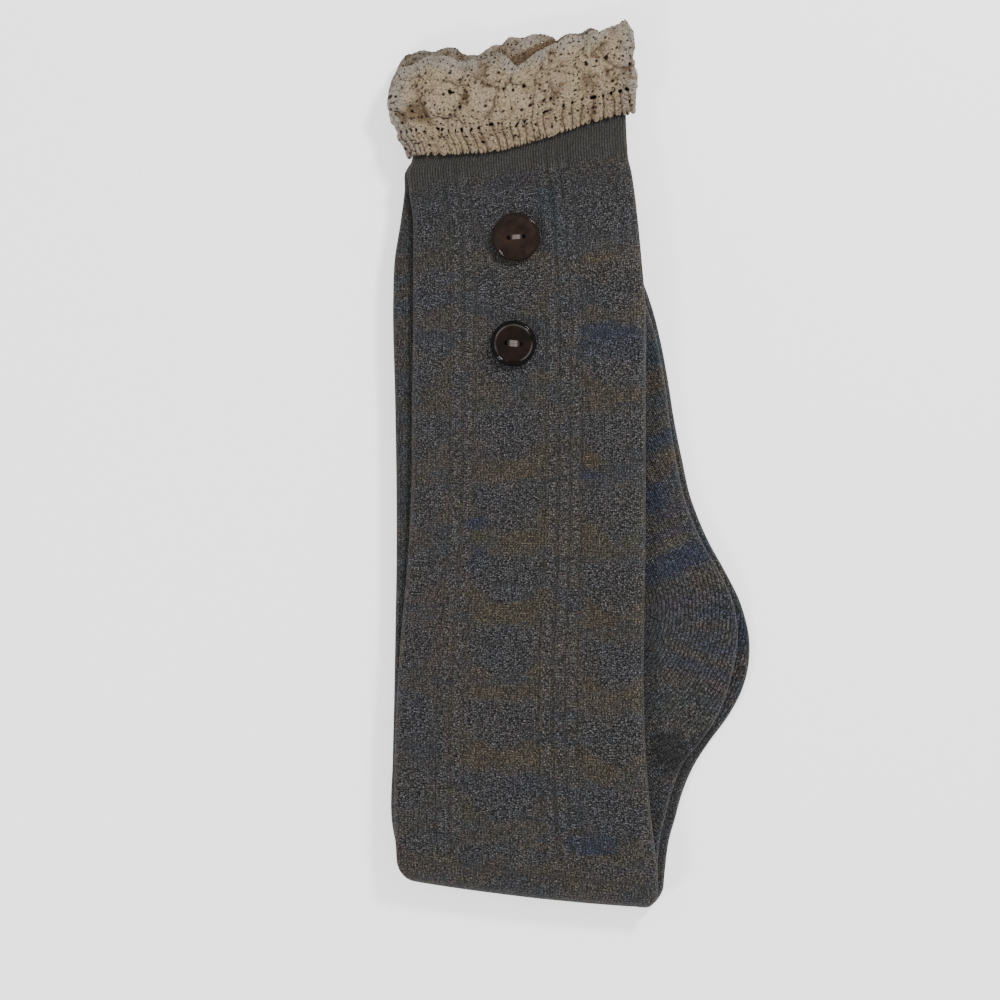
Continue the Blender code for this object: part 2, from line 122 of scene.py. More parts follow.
# Cross rows of the lower leg, heel and foot, from the fold to the toe
Row = namedtuple("Row", "left_x left_y right_x right_y inset")
FOOT_ROWS = (
    Row(-62.0, -157.5, 40.0, -167.5, 3.5),
    Row(-54.5, -148.5, 41.3, -158.0, 3.9),
    Row(-47.0, -135.0, 43.8, -149.0, 4.5),
    Row(-41.0, -123.5, 47.0, -137.5, 4.5),
    Row(-36.5, -111.5, 51.7, -126.5, 4.8),
    Row(-32.5, -99.0, 58.4, -116.0, 3.4),
    Row(-30.0, -88.0, 66.5, -105.0, 4.4),
    Row(-28.5, -78.5, 72.2, -94.0, 6.0),
    Row(-27.5, -70.0, 75.0, -82.0, 6.0),
    Row(-27.5, -64.0, 74.8, -71.0, 4.8),
    Row(-27.5, -59.5, 71.5, -58.5, 3.2),
    Row(-29.0, -52.5, 65.5, -46.0, 2.6),
    Row(-31.5, -46.0, 57.8, -32.0, 2.8),
    Row(-34.5, -38.0, 51.0, -15.5, 2.7),
    Row(-38.5, -23.5, 47.0, 1.5, 2.6),
    Row(-42.0, -5.0, 43.6, 18.5, 2.0),
    Row(-45.5, 14.0, 41.0, 35.0, 1.6),
    Row(-49.0, 31.0, 38.0, 51.0, 1.6),
    Row(-51.5, 47.0, 34.2, 66.0, 2.0),
    Row(-52.5, 62.0, 29.0, 79.5, 2.5),
    Row(-50.5, 75.5, 22.0, 90.5, 3.0),
    Row(-44.5, 87.5, 11.5, 99.0, 3.5),
    Row(-36.0, 96.5, 1.5, 104.5, 3.0),
    Row(-28.0, 101.5, -6.0, 106.5, 2.0),
)
BACK_INSTEP_INSET = 1.5
BACK_TOE_SET = (1.0, -4.5)

# Rib columns across the front of the leg, and the panels of shell motifs between them
Rib = namedtuple("Rib", "start end")
RIBS = (Rib(0.163, 0.193), Rib(0.218, 0.248), Rib(0.585, 0.620), Rib(0.647, 0.676), Rib(0.695, 0.724))
Groove = namedtuple("Groove", "at width depth")
GROOVES = (
    Groove(0.152, 0.010, 0.7),
    Groove(0.205, 0.010, 1.0),
    Groove(0.260, 0.009, 0.6),
    Groove(0.574, 0.010, 0.7),
    Groove(0.634, 0.010, 1.0),
    Groove(0.685, 0.008, 0.8),
    Groove(0.736, 0.010, 0.9),
)
Panel = namedtuple("Panel", "middle half_width lift")
PANELS = (Panel(-0.02, 0.150, 0.0), Panel(0.415, 0.150, 0.0), Panel(0.890, 0.145, -0.115))
RIB_HEIGHT = 0.45
MOTIF_HEIGHT = 0.35
MOTIF_PERIOD = 30.3
MOTIF_FOOT_Y = 1.2

# Round the heel the courses spread like a fan from a centre, and run straight beyond it
FAN_CENTRE = (7.0, -61.5)
FAN_RADIUS = 46.0
FAN_WALE = 1.6
FAN_UP = math.radians(27.0)
FAN_DOWN = math.radians(-48.0)
FAN_REACH_FRONT = 12.0
FAN_REACH_BACK = 28.0

# Wales round the tube: front, folded edge, back, folded edge
FRONT_WALES = 80
EDGE_WALES = 4

# The lace: heights of its edges across the cuff, as fractions of the width
Top = namedtuple("Top", "at low front_top rear_top back_top")
LACE_TOPS = (
    Top(0.00, 129.0, 164.5, 162.0, 166.5),
    Top(0.04, 129.2, 166.0, 163.5, 171.2),
    Top(0.08, 129.3, 167.4, 164.0, 172.0),
    Top(0.17, 129.6, 169.8, 166.0, 172.8),
    Top(0.27, 130.0, 167.2, 166.0, 172.6),
    Top(0.35, 130.6, 167.6, 171.5, 170.0),
    Top(0.43, 131.8, 171.0, 175.5, 168.0),
    Top(0.50, 133.5, 165.8, 177.6, 169.0),
    Top(0.56, 135.3, 169.5, 178.8, 171.0),
    Top(0.64, 137.8, 173.5, 178.0, 174.0),
    Top(0.72, 140.2, 177.0, 176.0, 177.5),
    Top(0.80, 142.6, 178.8, 179.3, 180.6),
    Top(0.88, 144.8, 180.4, 180.6, 181.2),
    Top(0.92, 145.7, 182.2, 181.4, 180.4),
    Top(0.96, 146.5, 184.9, 184.2, 179.0),
    Top(1.00, 147.2, 179.6, 179.2, 175.0),
)

# Rows up the lace: bulge of its sides, small gathers, rounded puffs and free ruffles
Up = namedtuple("Up", "at left right gathers puffs ruffles")
LACE_ROWS = (
    Up(0.00, -0.9, 0.0, 1.00, 0.0, 0.0),
    Up(0.11, 1.4, 0.2, 1.15, 0.0, 0.0),
    Up(0.20, 3.6, 0.4, 0.95, 0.0, 0.0),
    Up(0.26, 3.6, 0.4, 0.45, 0.15, 0.0),
    Up(0.34, 4.4, 0.6, 0.15, 0.8, 0.0),
    Up(0.45, 6.4, 0.6, 0.06, 1.0, 0.1),
    Up(0.60, 7.4, 0.2, 0.05, 0.9, 0.2),
    Up(0.68, 7.4, -0.6, 0.05, 0.55, 0.3),
    Up(0.82, 5.8, -0.2, 0.0, 0.8, 0.7),
    Up(1.00, 2.8, -0.5, 0.0, 0.35, 1.1),
)
Lace = namedtuple("Lace", """name node sock left right ribs ruffles
                  front_columns rear_columns rows depth seed""")
LACES = (
    Lace("front_lace", "lace_front", FRONT, -68.2, 26.6, 26, 6, 300, 170, 100, 1.0, 3),
    Lace("back_lace", "lace_back", BACK, -68.6, 22.5, 22, 5, 190, 190, 70, 0.75, 8),
)
# Laid flat: width of one face, length round the cuff and height, for patterns
LACE_FACE = 95.0
LACE_ROUND = 195.0
LACE_TALL = 40.0
LACE_THICKNESS = 0.8
LACE_KNIT_SHARE = 0.3
MOUTH_GAP = 2.8
HOLE_STEP = (3.0, 3.0)
PUFF_STEP = (12.5, 16.0)
CRINKLE_STEP = (4.6, 4.2)
FARTHEST = 9.0
PINHOLE_SKIP = 0.55

# Buttons, whose places and radii come from the frame
Button = namedtuple("Button", "name node rim_width turn_deg dish spread")
BUTTONS = (
    Button("brown_button", "button_upper", 1.3, 4.0, 1.2, 0.85),
    Button("dark_button", "button_lower", 1.7, -6.0, 1.3, 1.20),
)
# Their looks: light and dark mottling, the rim, and how strong the pale line inside the rim is, a
# painted reflection
ButtonLook = namedtuple("ButtonLook", "light dark rim ring")
BUTTON_LOOKS = (
    ButtonLook((0.023, 0.012, 0.008), (0.007, 0.0036, 0.0028), (0.011, 0.0065, 0.005), 0.05),
    ButtonLook((0.0115, 0.0045, 0.003), (0.003, 0.0022, 0.0014), (0.0012, 0.0012, 0.0012), 0.5),
)
BUTTON_BLEND_DEG = 35.0
THREAD_RADIUS = 0.30
HOLE_SPACING = 6.0
HOLE_RADIUS = 0.95
BUTTON_SIDES = 96

# The view, from straight above the middle of the picture
VIEW_CENTRE = (-29.4, -15.0)
VIEW_WIDTH = 416.7
LENS = 150.0
SENSOR = 36.0
CAMERA_RISE = 0.011
FLOOR_DROP = 0.0004
FLOOR_SIZE = 24.0

# Soft area lights: name, place in metres, size and power
LIGHTS = (("key", (0.62, 0.80, 0.95), 0.22, 20.0), ("fill", (-0.85, -0.75, 0.9), 0.25, 10.0))


def mix(a, b, t):
    return a + (b - a) * t


def smooth(low, high, value):
    t = np.clip((value - low) / (high - low), 0.0, 1.0)
    return t * t * (3.0 - 2.0 * t)


def column(rows, name):
    return np.array([getattr(row, name) for row in rows], float)


def curve_through(keys, values, wanted):
    """A smooth curve through a table's values, read at other keys."""
    order = np.argsort(keys)
    keys, values = keys[order], values[order]
    slopes = np.gradient(values, keys)
    wanted = np.clip(wanted, keys[0], keys[-1])
    index = np.clip(np.searchsorted(keys, wanted) - 1, 0, len(keys) - 2)
    step = keys[index + 1] - keys[index]
    t = (wanted - keys[index]) / step
    h00 = 2 * t ** 3 - 3 * t ** 2 + 1
    h10 = t ** 3 - 2 * t ** 2 + t
    h01 = -2 * t ** 3 + 3 * t ** 2
    h11 = t ** 3 - t ** 2
    return (h00 * values[index] + h10 * step * slopes[index]
            + h01 * values[index + 1] + h11 * step * slopes[index + 1])


def scattered(x, y, shift, weights=(127.1, 311.7, 43758.5453)):
    """A repeatable value from 0 to 1 for each point of a lattice."""
    wave = np.sin(x * weights[0] + y * weights[1] + shift) * weights[2]
    return wave - np.floor(wave)


def table_curve(rows, name, wanted, key="at"):
    """A column of a table as a smooth curve, read at other keys."""
    return curve_through(column(rows, key), column(rows, name), wanted)


def value_noise(x, y, seed):
    """Smooth repeatable noise from 0 to 1 on a lattice of unit cells."""
    ix, iy = np.floor(x), np.floor(y)
    fx, fy = x - ix, y - iy
    fx, fy = fx * fx * (3 - 2 * fx), fy * fy * (3 - 2 * fy)
    corners = [scattered(ix + dx, iy + dy, seed * 74.7) for dy in (0, 1) for dx in (0, 1)]
    return mix(mix(corners[0], corners[1], fx), mix(corners[2], corners[3], fx), fy)


def layered_noise(x, y, seed, octaves=3):
    total, weight, size = 0.0, 0.0, 1.0
    for octave in range(octaves):
        total = total + value_noise(x * size, y * size, seed + 17 * octave) / size
        weight += 1.0 / size
        size *= 2.0
    return total / weight


def leg_height(sock, y):
    """Height of the middle of a sock's upper leg, which steps to the cuff's beyond the toes."""
    return CENTRE_Z + sock.radius + sock.cuff_z * smooth(CUFF_Y[0], CUFF_Y[1], y)


def fold_y(x):
    return FOLD_LEFT[1] - math.tan(FOLD_SLOPE) * (x - FOLD_LEFT[0])


class Track:
    """Cross sections of a flattened tube: edge points, up directions, thickness and sag."""

    KEYS = ("left", "right", "up", "thickness", "sag")

    def __init__(self, left, right, up, thickness, sag):
        self.left, self.right, self.up = left, right, up
        self.thickness, self.sag = thickness, sag

    def joined(self, other):
        return Track(*[np.concatenate((getattr(self, key), getattr(other, key))) for key in self.KEYS])

    def picked(self, rows):
        return Track(*[getattr(self, key)[rows] for key in self.KEYS])

    def lengths(self):
        """Distance along the tube's middle line."""
        return run_lengths(mix(self.left, self.right, MIDDLE))


def run_lengths(points):
    """Distance from the first of a row of points to each of them."""
    steps = np.linalg.norm(np.diff(points, axis=0), axis=1)
    return np.concatenate(([0.0], np.cumsum(steps)))


def points_at(x, y, z=None):
    """Points from their coordinates, at height 0 where none is given."""
    return np.stack((x, y, np.zeros(len(x)) if z is None else z), 1)


def leg_track(sock, step):
    fold_left_y, fold_right_y = fold_y(sock.fold_left), fold_y(sock.fold_right)
    top = mix(sock.mouth_left, sock.mouth_right, MIDDLE)
    bottom = mix(fold_left_y, fold_right_y, MIDDLE)
    middles = np.linspace(top, bottom, int((top - bottom) / step) + 1)[:-1]
    t = (top - middles) / (top - bottom)
    left_y = mix(sock.mouth_left, fold_left_y, t)
    right_y = mix(sock.mouth_right, fold_right_y, t)
    left_x = table_curve(LEG_EDGES, sock.side + "_left", left_y, "y")
    right_x = table_curve(LEG_EDGES, sock.side + "_right", right_y, "y")
    count = len(middles)
    up = np.tile((0.0, 0.0, 1.0), (count, 1))
    return Track(points_at(left_x, left_y), points_at(right_x, right_y), up,
                 np.full(count, LAYER), np.zeros((count, 3))), middles


def fold_track(sock):
    inward = np.array((math.sin(FOLD_SLOPE), math.cos(FOLD_SLOPE), 0.0))
    turn = np.linspace(0.0, math.pi, FOLD_STEPS + 1)
    drift = FOLD_DRIFT * turn / math.pi
    up = np.outer(np.cos(turn), (0, 0, 1)) - np.outer(np.sin(turn), inward)
    centre = np.array((0, 0, CENTRE_Z)) + up * sock.radius
    rounding = sock.corner * (1.0 - np.abs(np.cos(turn)))
    left_x = sock.fold_left + drift + 1.4 * rounding
    right_x = sock.fold_right + drift - rounding
    if sock is FRONT:
        centre = centre - np.outer(np.sin(turn), inward * FOLD_BULGE)
    left = points_at(left_x, fold_y(left_x)) + centre
    right = points_at(right_x, fold_y(right_x)) + centre
    sag = np.outer(np.sin(turn), -inward * (FOLD_SAG if sock is FRONT else 0.0))
    return Track(left, right, up, np.full(len(turn), LAYER), sag)


def foot_track(sock, step):
    z = CENTRE_Z - sock.radius
    start = sock.fold_left + FOLD_DRIFT, sock.fold_right + FOLD_DRIFT
    left = np.array([(start[0], fold_y(start[0]))] + [(row.left_x, row.left_y) for row in FOOT_ROWS])
    right = np.array([(start[1], fold_y(start[1]))] + [(row.right_x, row.right_y) for row in FOOT_ROWS])
    if sock is BACK:
        across = right - left
        across /= np.linalg.norm(across, axis=1)[:, None]
        inset = np.concatenate(([0.0], column(FOOT_ROWS, "inset")))
        left[1:] += across[1:] * BACK_INSTEP_INSET
        right -= across * inset[:, None]
        share = smooth(0.6, 1.0, (np.arange(len(left)) - 1) / (len(FOOT_ROWS) - 1))
        left += np.outer(share, BACK_TOE_SET)
        right += np.outer(share, BACK_TOE_SET)
    middle = mix(left, right, 0.5)
    keys = run_lengths(middle)
    wanted = np.linspace(0.0, keys[-1], int(keys[-1] / step))[1:]
    shape = [curve_through(keys, side[:, axis], wanted) for side in (left, right) for axis in (0, 1)]
    toe = 1.0 - 0.45 * smooth(keys[-1] - 16.0, keys[-1], wanted) ** 2
    thickness = LAYER * toe
    height = np.full(len(wanted), z) if sock is BACK else 0.5 * thickness
    left = points_at(shape[0], shape[1], height)
    right = points_at(shape[2], shape[3], height)
    up = np.tile((0.0, 0.0, -1.0), (len(wanted), 1))
    return Track(left, right, up, thickness, np.zeros((len(wanted), 3)))


def ring_columns(front_count, back_count, arc_count=5):
    """Round the flattened tube: kind, fraction across and arc angle of each column."""
    front = np.linspace(0.0, 1.0, front_count)
    back = np.linspace(1.0, 0.0, back_count)
    arc = np.linspace(90.0, -90.0, arc_count + 2)[1:-1]
    kinds = [(1, at, 90.0) for at in front] + [(1, 1.0, a) for a in arc]
    kinds += [(-1, at, -90.0) for at in back] + [(-1, 0.0, -a) for a in arc]
    return np.array(kinds, float)


def ring_grid(track, columns, thickness, inset, heights):
    """Points of every cross section, as an array of rows, columns and places."""
    half = 0.5 * thickness[:, None]
    at, angle = columns[None, :, 1], np.radians(columns[None, :, 2])
    edge = inset + half * (1.0 - np.cos(angle))
    across = track.right - track.left
    width = np.linalg.norm(across, axis=1)
    across = across / width[:, None]
    along = edge + at * (width[:, None] - 2.0 * edge)
    grid = track.left[:, None, :] + across[:, None, :] * along[:, :, None]
    bow = 4.0 * at * (1.0 - at) * np.ones_like(along)
    grid = grid + track.sag[:, None, :] * bow[:, :, None]
    if heights is not None:
        grid[:heights[0], :, 2] = heights[1](grid[:heights[0], :, 1])
    return grid + track.up[:, None, :] * (half * np.sin(angle))[:, :, None]


def wale_places(columns):
    """Wales round the tube at each column, counted on over its folded edges."""
    kind, at, angle = columns[:, 0], columns[:, 1], columns[:, 2]
    front = at * FRONT_WALES
    right = FRONT_WALES + EDGE_WALES * (90.0 - angle) / 180.0
    back = FRONT_WALES + EDGE_WALES + (1.0 - at) * FRONT_WALES
    left = 2.0 * FRONT_WALES + EDGE_WALES + EDGE_WALES * (90.0 + angle) / 180.0
    arc = np.abs(angle) < 90.0
    return np.where(kind > 0, np.where(arc, right, front), np.where(arc, left, back))


def rib_relief(at):
    """Height of the rib columns and depth of the grooves beside them, each from 0 to 1."""
    soft = 0.004

    def above(edge):
        return smooth(edge - soft, edge + soft, at)

    rise = sum(above(rib.start) - above(rib.end) for rib in RIBS)
    dip = sum(groove.depth * np.exp(-((at - groove.at) / (0.5 * groove.width)) ** 2)
              for groove in GROOVES)
    return rise, dip


def shell_mask(at, y):
    """1 inside the shell motifs: flat on top and pointed below, in each panel."""
    total = 0.0
    for panel in PANELS:
        phase = ((y - MOTIF_FOOT_Y) / MOTIF_PERIOD - panel.lift) % 1.0
        width = np.sin(np.clip(phase / 0.42, 0.0, 1.0) * 0.5 * math.pi) * panel.half_width
        inside = smooth(0.020, -0.020, np.abs(at - panel.middle) - width)
        total = total + inside * smooth(0.0, 0.05, phase) * smooth(0.76, 0.66, phase)
    return np.clip(total, 0.0, 1.0)


def add_object(name, data):
    obj = bpy.data.objects.new(name, data)
    bpy.context.scene.collection.objects.link(obj)
    return obj


def choose(obj):
    """Select one object alone and make it active."""
    bpy.ops.object.select_all(action="DESELECT")
    obj.select_set(True)
    bpy.context.view_layer.objects.active = obj


def point_layer(mesh, name, values):
    """Give every vertex a value for the piece's material to read."""
    mesh.attributes.new(name, "FLOAT", "POINT").data.foreach_set("value", values)


def make_mesh(name, grid, uv, round_trip, layers, caps=True):
    """An object from a closed ring grid, with a stitch map and point attributes."""
    rows, cols = grid.shape[:2]
    index = np.arange(rows * cols).reshape(rows, cols)
    ahead = np.roll(index, -1, axis=1)
    quads = np.stack((index[:-1], ahead[:-1], ahead[1:], index[1:]), -1).reshape(-1, 4)
    faces = quads.tolist()
    if caps:
        faces += [index[0, ::-1].tolist(), index[-1].tolist()]
    mesh = bpy.data.meshes.new(name)
    mesh.from_pydata(((grid.reshape(-1, 3) - SHIFT) * MM).tolist(), [], faces)
    layer = mesh.uv_layers.new(name="stitch")
    wide = np.concatenate((uv, uv[:, :1] + np.array((round_trip, 0.0))), axis=1)
    corner = np.stack((wide[:-1, :-1], wide[:-1, 1:], wide[1:, 1:], wide[1:, :-1]), 2).reshape(-1, 2)
    cap_corners = len(mesh.loops) - len(corner)
    corner = np.concatenate((corner, np.zeros((cap_corners, 2))))
    layer.data.foreach_set("uv", corner.ravel())
    for key, values in layers.items():
        if values.ndim == 3:
            attribute = mesh.attributes.new(key, "FLOAT_COLOR", "POINT")
            colour = np.concatenate((values, np.ones((rows, cols, 1))), 2)
            attribute.data.foreach_set("color", colour.ravel())
        else:
            point_layer(mesh, key, np.broadcast_to(values, (rows, cols)).ravel())
    mesh.polygons.foreach_set("use_smooth", np.ones(len(mesh.polygons), bool))
    return add_object(name, mesh)


@contextmanager
def edited(data):
    """A mesh opened for editing, and written back at the end."""
    mesh = bmesh.new()
    mesh.from_mesh(data)
    yield mesh
    mesh.to_mesh(data)
    mesh.free()


def point_out(obj):
    """Turn the faces of a closed piece outward."""
    with edited(obj.data) as mesh:
        bmesh.ops.recalc_face_normals(mesh, faces=mesh.faces)


# Space-dyed yarn: the places where a colour shows, and how they lean; the shade entry is painted shade
# for creases, not a dye
Dye = namedtuple("Dye", "name red green blue")
DYE_TABLE = (
    Dye("grey", 0.0640, 0.0570, 0.0525),
    Dye("cool", 0.0550, 0.0560, 0.0605),
    Dye("tan", 0.0745, 0.0610, 0.0430),
    Dye("orange", 0.0800, 0.0615, 0.0385),
    Dye("navy", 0.0310, 0.0370, 0.0600),
    Dye("teal", 0.0320, 0.0460, 0.0560),
    Dye("slate", 0.0460, 0.0500, 0.0570),
    Dye("olive", 0.0600, 0.0590, 0.0400),
    Dye("plum", 0.0520, 0.0450, 0.0600),
    Dye("rose", 0.0700, 0.0530, 0.0510),
    # Painted shade, laid on like a dye where a crease darkens the knit
    Dye("shade", 0.0240, 0.0240, 0.0250),
)
DYES = {dye.name: np.array((dye.red, dye.green, dye.blue)) for dye in DYE_TABLE}
Patch = namedtuple("Patch", "x y wide tall lean dye strength")


def patch_rows(*rows):
    return [Patch(*row) for row in rows]


LEG_PATCHES = patch_rows(
    (-21, 106, 48, 17, 0, "cool", 0.7),
    (-45, 84, 15, 5, 0, "tan", 0.45),
    (-18, 82, 12, 7, 0, "tan", 0.85),
    (-9.5, 107, 4.5, 6.5, 0, "teal", 0.75),
    (-24, 118, 12, 4, 20, "plum", 0.4),
    (-4, 96, 4, 4, 0, "slate", 0.5),
    (18, 81, 12.5, 5, 0, "tan", 0.9),
    (11.5, 82, 6.5, 5.2, 0, "orange", 0.9),
    (9, 62.5, 6, 3.5, 0, "tan", 0.5),
    (17, 52.5, 13, 6, 0, "navy", 1),
    (19, 48.5, 12, 5, 0, "navy", 0.9),
    (24, 46, 7, 3, 0, "teal", 0.7),
    (-15, 52.5, 11, 5, 0, "slate", 0.6),
    (-60, 69, 10, 3.6, 0, "navy", 0.7),
    (-44, 70, 10, 3.6, 0, "slate", 0.5),
    (-57, 50.5, 8, 5.6, 0, "slate", 1),
    (-56, 30, 6, 10, 0, "tan", 0.55),
    (-34, 32, 9, 6.5, 0, "tan", 0.5),
    (-22, 28, 7, 3, 0, "slate", 0.6),
    (-35, 24, 6, 2.6, 0, "olive", 0.6),
    (9, 25, 6, 3.6, 0, "tan", 0.8),
    (22, 29, 8, 3.4, 14, "tan", 0.9),
    (6, 34, 3, 3, 0, "tan", 0.7),
    (-22, -2.2, 17.5, 4.2, 2, "tan", 0.9),
    (-12, 5, 5, 3.6, 0, "tan", 0.9),
    (8.6, 1.5, 3.6, 3.4, 0, "orange", 1),
    (9, -4.6, 5.2, 2.3, 0, "navy", 0.9),
    (22, -4, 8, 3.4, 0, "slate", 0.8),
    (-39.5, -25, 4.6, 2.6, 0, "navy", 1),
    (-38, -31, 4.6, 2.3, 0, "olive", 1),
    (-19, -30.6, 12.6, 3.8, 3, "tan", 1),
    (-10, -23, 3.8, 4.4, 30, "tan", 1),
    (-38.5, -40, 3, 6, -20, "navy", 0.9),
    (-22, -38, 10, 3.4, 0, "tan", 0.45),
    (10, -28.5, 6.4, 5.8, 0, "tan", 1),
    (25, -31, 4.4, 3.4, 0, "olive", 0.9),
    (-41, -53, 4.8, 4.2, -25, "tan", 0.8),
    (-25, -61.2, 19.5, 4.2, 1, "tan", 1),
    (-10.5, -57, 3.6, 5.6, 0, "tan", 1),
    (12, -62.5, 8, 7, -12, "orange", 0.75),
    (26, -58, 4, 3.4, 0, "tan", 0.8),
    (-14, -86, 4.8, 3.4, 0, "tan", 1),
    (-34, -86.5, 5.6, 2.6, 0, "tan", 0.5),
    (-25, -95, 20, 3.3, 0, "tan", 0.9),
    (8.2, -88, 4.2, 9.6, 0, "tan", 1),
    (20, -93.6, 12, 4, 2, "tan", 0.9),
    (-25, -121.5, 20.5, 4.4, 1, "tan", 0.85),
    (17, -121.5, 15.6, 4.4, 2, "tan", 0.8),
    (14, -129, 6.6, 2.6, 0, "tan", 0.7),
    (-42, -133, 4.4, 4, 0, "slate", 0.8),
    (-20, -132.5, 7, 3.4, 0, "navy", 0.6),
    (-43, -143, 3.8, 5.6, 0, "olive", 0.9),
    (-24, -152, 16, 3.4, 0, "tan", 0.5),
    (-42, -165, 4.6, 6.4, 0, "slate", 0.6),
    (9, -158.5, 10.6, 4.2, 0, "navy", 0.95),
    (4, -139, 4.6, 4, 0, "slate", 0.6),
    (-55, -17, 5, 2.4, 0, "rose", 0.7),
    (-58, -62, 8, 17, 0, "rose", 0.30),
    (-62, -112, 9, 13, 0, "slate", 0.7),
    (-49.5, -135, 2.8, 2.4, 0, "olive", 0.8),
    (-58, -150, 8, 12, 0, "slate", 0.35),
    (29, -61, 2.4, 5, 0, "tan", 0.8),
    (29, 44, 2.4, 12, 0, "slate", 0.6),
    (29, 4, 2.4, 8, 0, "slate", 0.5),
)
FOOT_PATCHES = patch_rows(
    (35, 46.5, 6, 5, 0, "teal", 1),
    (35.5, 34.5, 8, 3.6, 55, "orange", 0.9),
    (37, 27, 5, 3.6, 20, "slate", 0.7),
    (36, 15.5, 6, 2.4, 20, "olive", 0.8),
    (37, 10, 8, 3.2, 22, "navy", 0.85),
    (38.5, 0.5, 10, 4, 38, "orange", 0.9),
    (36, -14, 7.5, 5.6, 12, "navy", 1),
    (45, -7, 6, 2.6, 22, "slate", 0.7),
    (44, -13, 5, 3.2, 20, "tan", 0.55),
    (43, -19, 7.5, 2.2, 22, "plum", 0.8),
    (41.5, -25, 10, 2, 22, "olive", 0.9),
    (41, -28.8, 9, 2.2, 22, "plum", 0.9),
    (41, -33.6, 9.6, 2.8, 22, "tan", 1),
    (44, -40.8, 18, 4.8, 27, "navy", 1),
    (49, -51.5, 17, 4.2, 23, "tan", 0.35),
    (55, -48.5, 6, 3, 40, "rose", 0.5),
    (43, -58.5, 12, 2.8, 14, "plum", 0.6),
    (60.5, -61.5, 8.6, 2.4, 2, "navy", 0.6),
    (57, -68, 9.6, 1.7, -1, "tan", 0.75),
    (57, -72.6, 10, 1.9, -8, "slate", 0.7),
    (61, -77, 8.4, 1.7, -12, "navy", 0.6),
    (50.5, -79, 13.6, 2.5, -24, "orange", 0.6),
    (55, -85.5, 13, 2.3, -20, "navy", 0.6),
    (62, -93.5, 6, 3.6, -26, "rose", 0.9),
    (48, -93, 6.6, 3, -30, "tan", 0.35),
    (55, -98.5, 9.6, 2.8, -36, "slate", 0.6),
    (47, -105, 10, 4.8, -40, "olive", 0.4),
    (34.5, -119, 4, 4.4, 0, "olive", 0.8),
    # Painted shade in the crease at the ankle
    (42.5, -121, 7, 9, 20, "shade", 1),
    (55, -116, 6, 3.4, 40, "shade", 0.7),
    (71.5, -69, 3.6, 8, 0, "navy", 0.9),
    (71, -87, 4, 3, -20, "olive", 0.6),
)


def dye_colours(grid, patches, seed, base, warmth):
    """Colour of the yarn at each point: faint streaks along the courses, and the patches; patches of
    shade are painted shade in creases.
    """
    x, y = grid[..., 0], grid[..., 1]
    colour = np.tile(DYES[base], x.shape + (1,))
    spread = layered_noise(x * 0.075 + 3.0, y * 0.22, seed, 3)
    for dye, low, high, reach in (("slate", 0.52, 0.66, 0.75), ("tan", 0.45, 0.30, 0.65 * warmth)):
        share = smooth(low, high, spread) * reach
        colour = mix(colour, DYES[dye], share[..., None])
    hue = layered_noise(x * 0.12, y * 0.16, seed + 9, 2)
    colour = mix(colour, DYES["rose"], (smooth(0.58, 0.75, hue) * 0.35)[..., None])
    colour = mix(colour, DYES["olive"], (smooth(0.42, 0.25, hue) * 0.35)[..., None])
    ragged = (value_noise(x * 0.16, y / COURSE, seed + 5) - 0.5) * 1.5
    ragged = ragged + (layered_noise(x * 0.35, y * 0.5, seed + 6, 2) - 0.5) * 1.4
    for patch in patches:
        turn = math.radians(patch.lean)
        along = (x - patch.x) * math.cos(turn) + (y - patch.y) * math.sin(turn)
        beside = (y - patch.y) * math.cos(turn) - (x - patch.x) * math.sin(turn)
        away = np.abs(along / patch.wide) ** 3 + np.abs(beside / patch.tall) ** 3
        dye = DYES[patch.dye]
        share = smooth(1.9, 0.1, away + ragged) * patch.strength * (warmth if dye[0] > dye[2] else 0.95)
        colour = mix(colour, dye, share[..., None])
    return colour


def tube_relief(sock, columns, at, x, y, station, bottom):
    """How far the knit stands proud, and where the motifs, the ribs and their grooves show."""
    front_face = (columns[:, 0] > 0) & (columns[:, 2] > 80.0)
    back_face = (columns[:, 0] < 0) & (columns[:, 2] < -80.0)
    fade = smooth(0.0, 8.0, station - bottom) * smooth(0.0, 4.0, CUFF_Y[1] + 2.0 - station)
    on_front = fade * front_face * (sock is FRONT)
    rise, dip = rib_relief(at)
    motif, ribs, grooves = shell_mask(at, station) * on_front, rise * on_front, dip * on_front
    soft = (layered_noise(x * 0.03 + 7.0, y * 0.02, 11, 2) - 0.5) * 0.5
    edge = smooth(0.0, 0.05, at) * smooth(1.0, 0.95, at)
    push = (MOTIF_HEIGHT * motif + RIB_HEIGHT * ribs - 0.15 * grooves) + soft * edge * front_face
    if sock is BACK:
        push = soft * edge * back_face * 0.6
    return push, motif, ribs, grooves, front_face


def tube_colours(sock, outer, at, station, front_face, legs):
    """Colour of each point: the leg's dye, then past the middle of the fold the foot's; with a painted
    highlight along the front leg's right edge, darker towards the cuff, and painted shade round the
    fold.
    """
    beyond = np.arange(len(outer)) - legs - FOLD_STEPS // 2
    folded = (beyond > 0)[:, None, None]
    near_fold = np.clip(1.0 - np.abs(beyond) / (0.5 * FOLD_STEPS), 0.0, 1.0)
    if sock is FRONT:
        leg_colour = dye_colours(outer, LEG_PATCHES, 21, "grey", 1.0)
    else:
        leg_colour = 0.93 * dye_colours(outer, (), 43, "cool", 0.8)
    foot_colour = dye_colours(outer, FOOT_PATCHES, 57, "cool", 0.60)
    # Painted highlight: a lighter column along the front leg's right edge, where its rounded edge
    # catches the light
    painted_edge_highlight = smooth(0.955, 0.975, at) * front_face * (sock is FRONT)
    leg_colour = leg_colour * (1.0 + 0.25 * painted_edge_highlight)[..., None]
    leg_colour = leg_colour * mix(1.0, 0.78, smooth(80.0, 112.0, station))[..., None]
    return np.where(folded, foot_colour, leg_colour), (1.0 - 0.24 * near_fold)[:, None, None]


